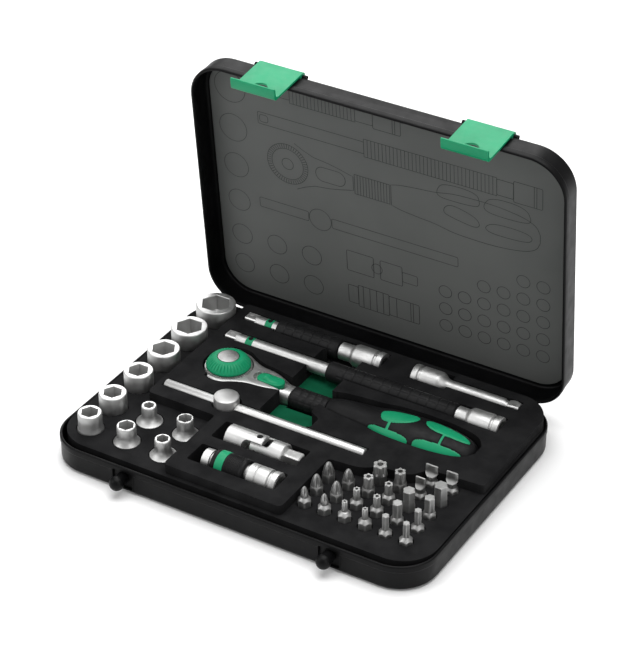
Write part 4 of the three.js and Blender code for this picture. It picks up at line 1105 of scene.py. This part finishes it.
def ratchet_pockets():
    """Pockets for the fork, head, drive square, sleeve and handle."""
    room = 0.9
    curve = [(x, w + room) for x, w in smooth(FORK, 40)]
    curve[0] = (curve[0][0] - room, curve[0][1])
    curve[-1] = (curve[-1][0] + room, curve[-1][1])
    grip = [(GRIP_START + a * GRIP_LENGTH, GRIP_HALF * s + 1.2) for a, s in smooth(HANDLE, 60)]
    grip[0] = (2.8, grip[0][1])
    grip[-1] = (87.8, grip[-1][1])
    return [prism(mirrored(curve), 8.3, ABOVE_FOAM),
            polar([(6.6, 13.4), (ABOVE_FOAM, 13.4)], "z", (*HEAD, 0), 96),
            block((-62.6, -53), (15.2, 24.8), (0, ABOVE_FOAM)),
            block((-19, 3.2), (13.2, 26.8), (6.7, ABOVE_FOAM)),
            prism(mirrored(grip), 0, ABOVE_FOAM)]


def bar_pockets():
    """Pockets for the T-bar, extensions, universal joint and adapter."""
    cuts = [block((-77.2, 41.3), (-13.2, -6.4), (14.8, ABOVE_FOAM)),
            polar([(11.6, 7.8), (ABOVE_FOAM, 7.8)], "z", (*DRUM, 0), 64),
            block((-44.4, -35.6), (-14.2, -5.4), (0, ABOVE_FOAM))]
    for y, right, sleeve in EXTENSIONS.values():
        start = right - COLLAR
        cuts += [block((-74.4, right), (y - 4.1, y + 4.1), (13.5, ABOVE_FOAM)),
                 block((sleeve[0] - 0.4, sleeve[1] + 0.4), (y - 5.8, y + 5.8), (11.8, ABOVE_FOAM)),
                 block((sleeve[1] + 0.4, start), (y - 6.2, y + 6.2), (11.4, ABOVE_FOAM)),
                 block((start - 0.4, right + 0.4), (y - 6.6, y + 6.6), (RECESS_FLOOR, ABOVE_FOAM))]
    cuts += [block((28, 89), (59.9, 67.7), (13.7, ABOVE_FOAM)),
             block((27.6, 48.5), (57.2, 70.4), (RECESS_FLOOR, ABOVE_FOAM)),
             prism(rounded(-31.5, 17.8, -37.8, -23.2, 1.2, 5), RECESS_FLOOR, ABOVE_FOAM),
             prism(rounded(-31.5, 18.3, -59.5, -45.1, 1.2, 5), RECESS_FLOOR, ABOVE_FOAM)]
    return cuts


def foam_tray():
    outline = rounded(-104.6, 104.6, -71, 74, 19, 16)
    tray = build("foam_bed", prism(outline, 1.1, 14.5), [FOAM, GREEN_FOAM])
    raised = soft_corners([(-80, -22, 3), (-39, -22, 2), (-39, -69, 3), (28.3, -69, 3), (28.3, -24, 2), (46, -22.5, 5),
                           (53, -16.5, 4), (69, -15.5, 4), (75, -6.5, 4), (103.9, -4.5, 2), (103.9, 73.3, 16),
                           (-80, 73.3, 3)])
    platform = tool(prism(raised, 12, 20))
    trim = tool(prism(rounded(-104.2, 104.2, -70.6, 73.6, 18.6, 16), 11, ABOVE_FOAM))
    boolean(platform, [trim], "INTERSECT")
    boolean(tray, [platform], "UNION")
    finger = soft_corners([(-23, -6.4, 2), (7, -6.4, 2), (7, 2.5, 2), (0.5, 5.5, 2), (0.5, 58, 2), (-23, 58, 2)])
    recess = prism(finger, RECESS_FLOOR, ABOVE_FOAM)
    pockets = [recess, *shelf_pockets(), *ratchet_pockets(), *bar_pockets()]
    boolean(tray, [tool(pocket) for pocket in pockets])
    mesh = tray.data
    mesh.materials.clear()
    mesh.materials.append(FOAM)
    mesh.materials.append(GREEN_FOAM)
    for face in mesh.polygons:
        x, y, z = (v / MM for v in face.center)
        level = abs(z - RECESS_FLOOR) < 0.02 and face.normal.z > 0.9
        face.material_index = int(level and -23.5 < x < 7.5 and -7 < y < 59)
    eased(tray, 0.45, 3, 50)
    finish(tray, "base", ["foam_tray"], 40)


# ---------- camera, light, floor ----------
def camera():
    yaw, pitch, roll = 0.53455, 0.584809, 0.003606
    place = Vector((512.0575, -848.8345, 731.5116))
    focal, picture, sensor = 2431.771, 650, 36
    forward = Vector((-math.sin(yaw) * math.cos(pitch), math.cos(yaw) * math.cos(pitch), -math.sin(pitch)))
    level = forward.cross(Vector((0, 0, 1))).normalized()
    up = level.cross(forward)
    right = level * math.cos(roll) + up * math.sin(roll)
    up = -level * math.sin(roll) + up * math.cos(roll)
    view = bpy.data.cameras.new("view")
    view.lens = focal * sensor / picture
    view.sensor_width = sensor
    view.clip_end = 20
    made = bpy.data.objects.new("view", view)
    turn = Matrix((right, up, -forward)).transposed().to_4x4()
    made.matrix_world = Matrix.Translation(place * MM) @ turn
    bpy.context.scene.collection.objects.link(made)
    bpy.context.scene.camera = made


def ground():
    half, drop = 6, 0.0004
    floor = bpy.data.meshes.new("floor")
    floor.from_pydata([(-half, -half, 0), (half, -half, 0), (half, half, 0), (-half, half, 0)], [], [(0, 1, 2, 3)])
    floor.materials.append(material("pale_floor", (0.86, 0.86, 0.86), (0.90, 0.90, 0.90), (0.75, 0.85),
                                    specular=0.1, patch=3, grain=400, bump=0.02))
    made = bpy.data.objects.new("floor", floor)
    made.location.z = -drop
    bpy.context.scene.collection.objects.link(made)


def area(name, place, target, size, power):
    lamp = bpy.data.lights.new(name, "AREA")
    lamp.shape = "RECTANGLE"
    lamp.size, lamp.size_y = size
    lamp.energy = power
    made = bpy.data.objects.new(name, lamp)
    made.location = place
    aim = Vector(target) - Vector(place)
    made.rotation_euler = aim.to_track_quat("-Z", "Y").to_euler()
    bpy.context.scene.collection.objects.link(made)


def studio():
    camera()
    ground()
    area("overhead", (0.0, 0.2, 1.5), (0, 0, 0), (1.6, 1.6), 30)
    area("behind", (-0.9, 1.5, 1.15), (0, 0, 0.02), (1.4, 0.9), 14)
    area("front_left", (-1.1, -1.0, 0.9), (0, 0, 0.03), (0.9, 0.9), 7)
    area("right_side", (1.3, -0.5, 0.8), (0, 0, 0.05), (0.7, 0.9), 4)

    world = bpy.data.worlds.new("studio")
    world.use_nodes = True
    world.node_tree.nodes["Background"].inputs["Color"].default_value = (1, 1, 1, 1)
    world.node_tree.nodes["Background"].inputs["Strength"].default_value = 0.42
    bpy.context.scene.world = world
    bpy.context.scene.view_settings.view_transform = "Standard"


case_base()
case_lid()
lid_panel()
lid_drawing(*drawing_lines())
for latch_side, latch_x in SIDES:
    strap("latch_" + latch_side, latch_x)
for socket_name in SOCKETS:
    socket(socket_name)
for bit_name in BITS:
    bit(bit_name)
handle()
fork()
ratchet_head()
ratchet_dial()
ratchet_button()
ratchet_switch()
ratchet_sleeve()
tbar()
extension("long_extension")
extension_sleeve("long_extension", 7)
extension("short_extension")
extension_sleeve("short_extension", 4)
wobble()
universal_joint()
adapter()
foam_tray()
for pin_slot in bpy.data.objects["hinge_pin"].material_slots:
    pin_slot.material = STEEL
studio()
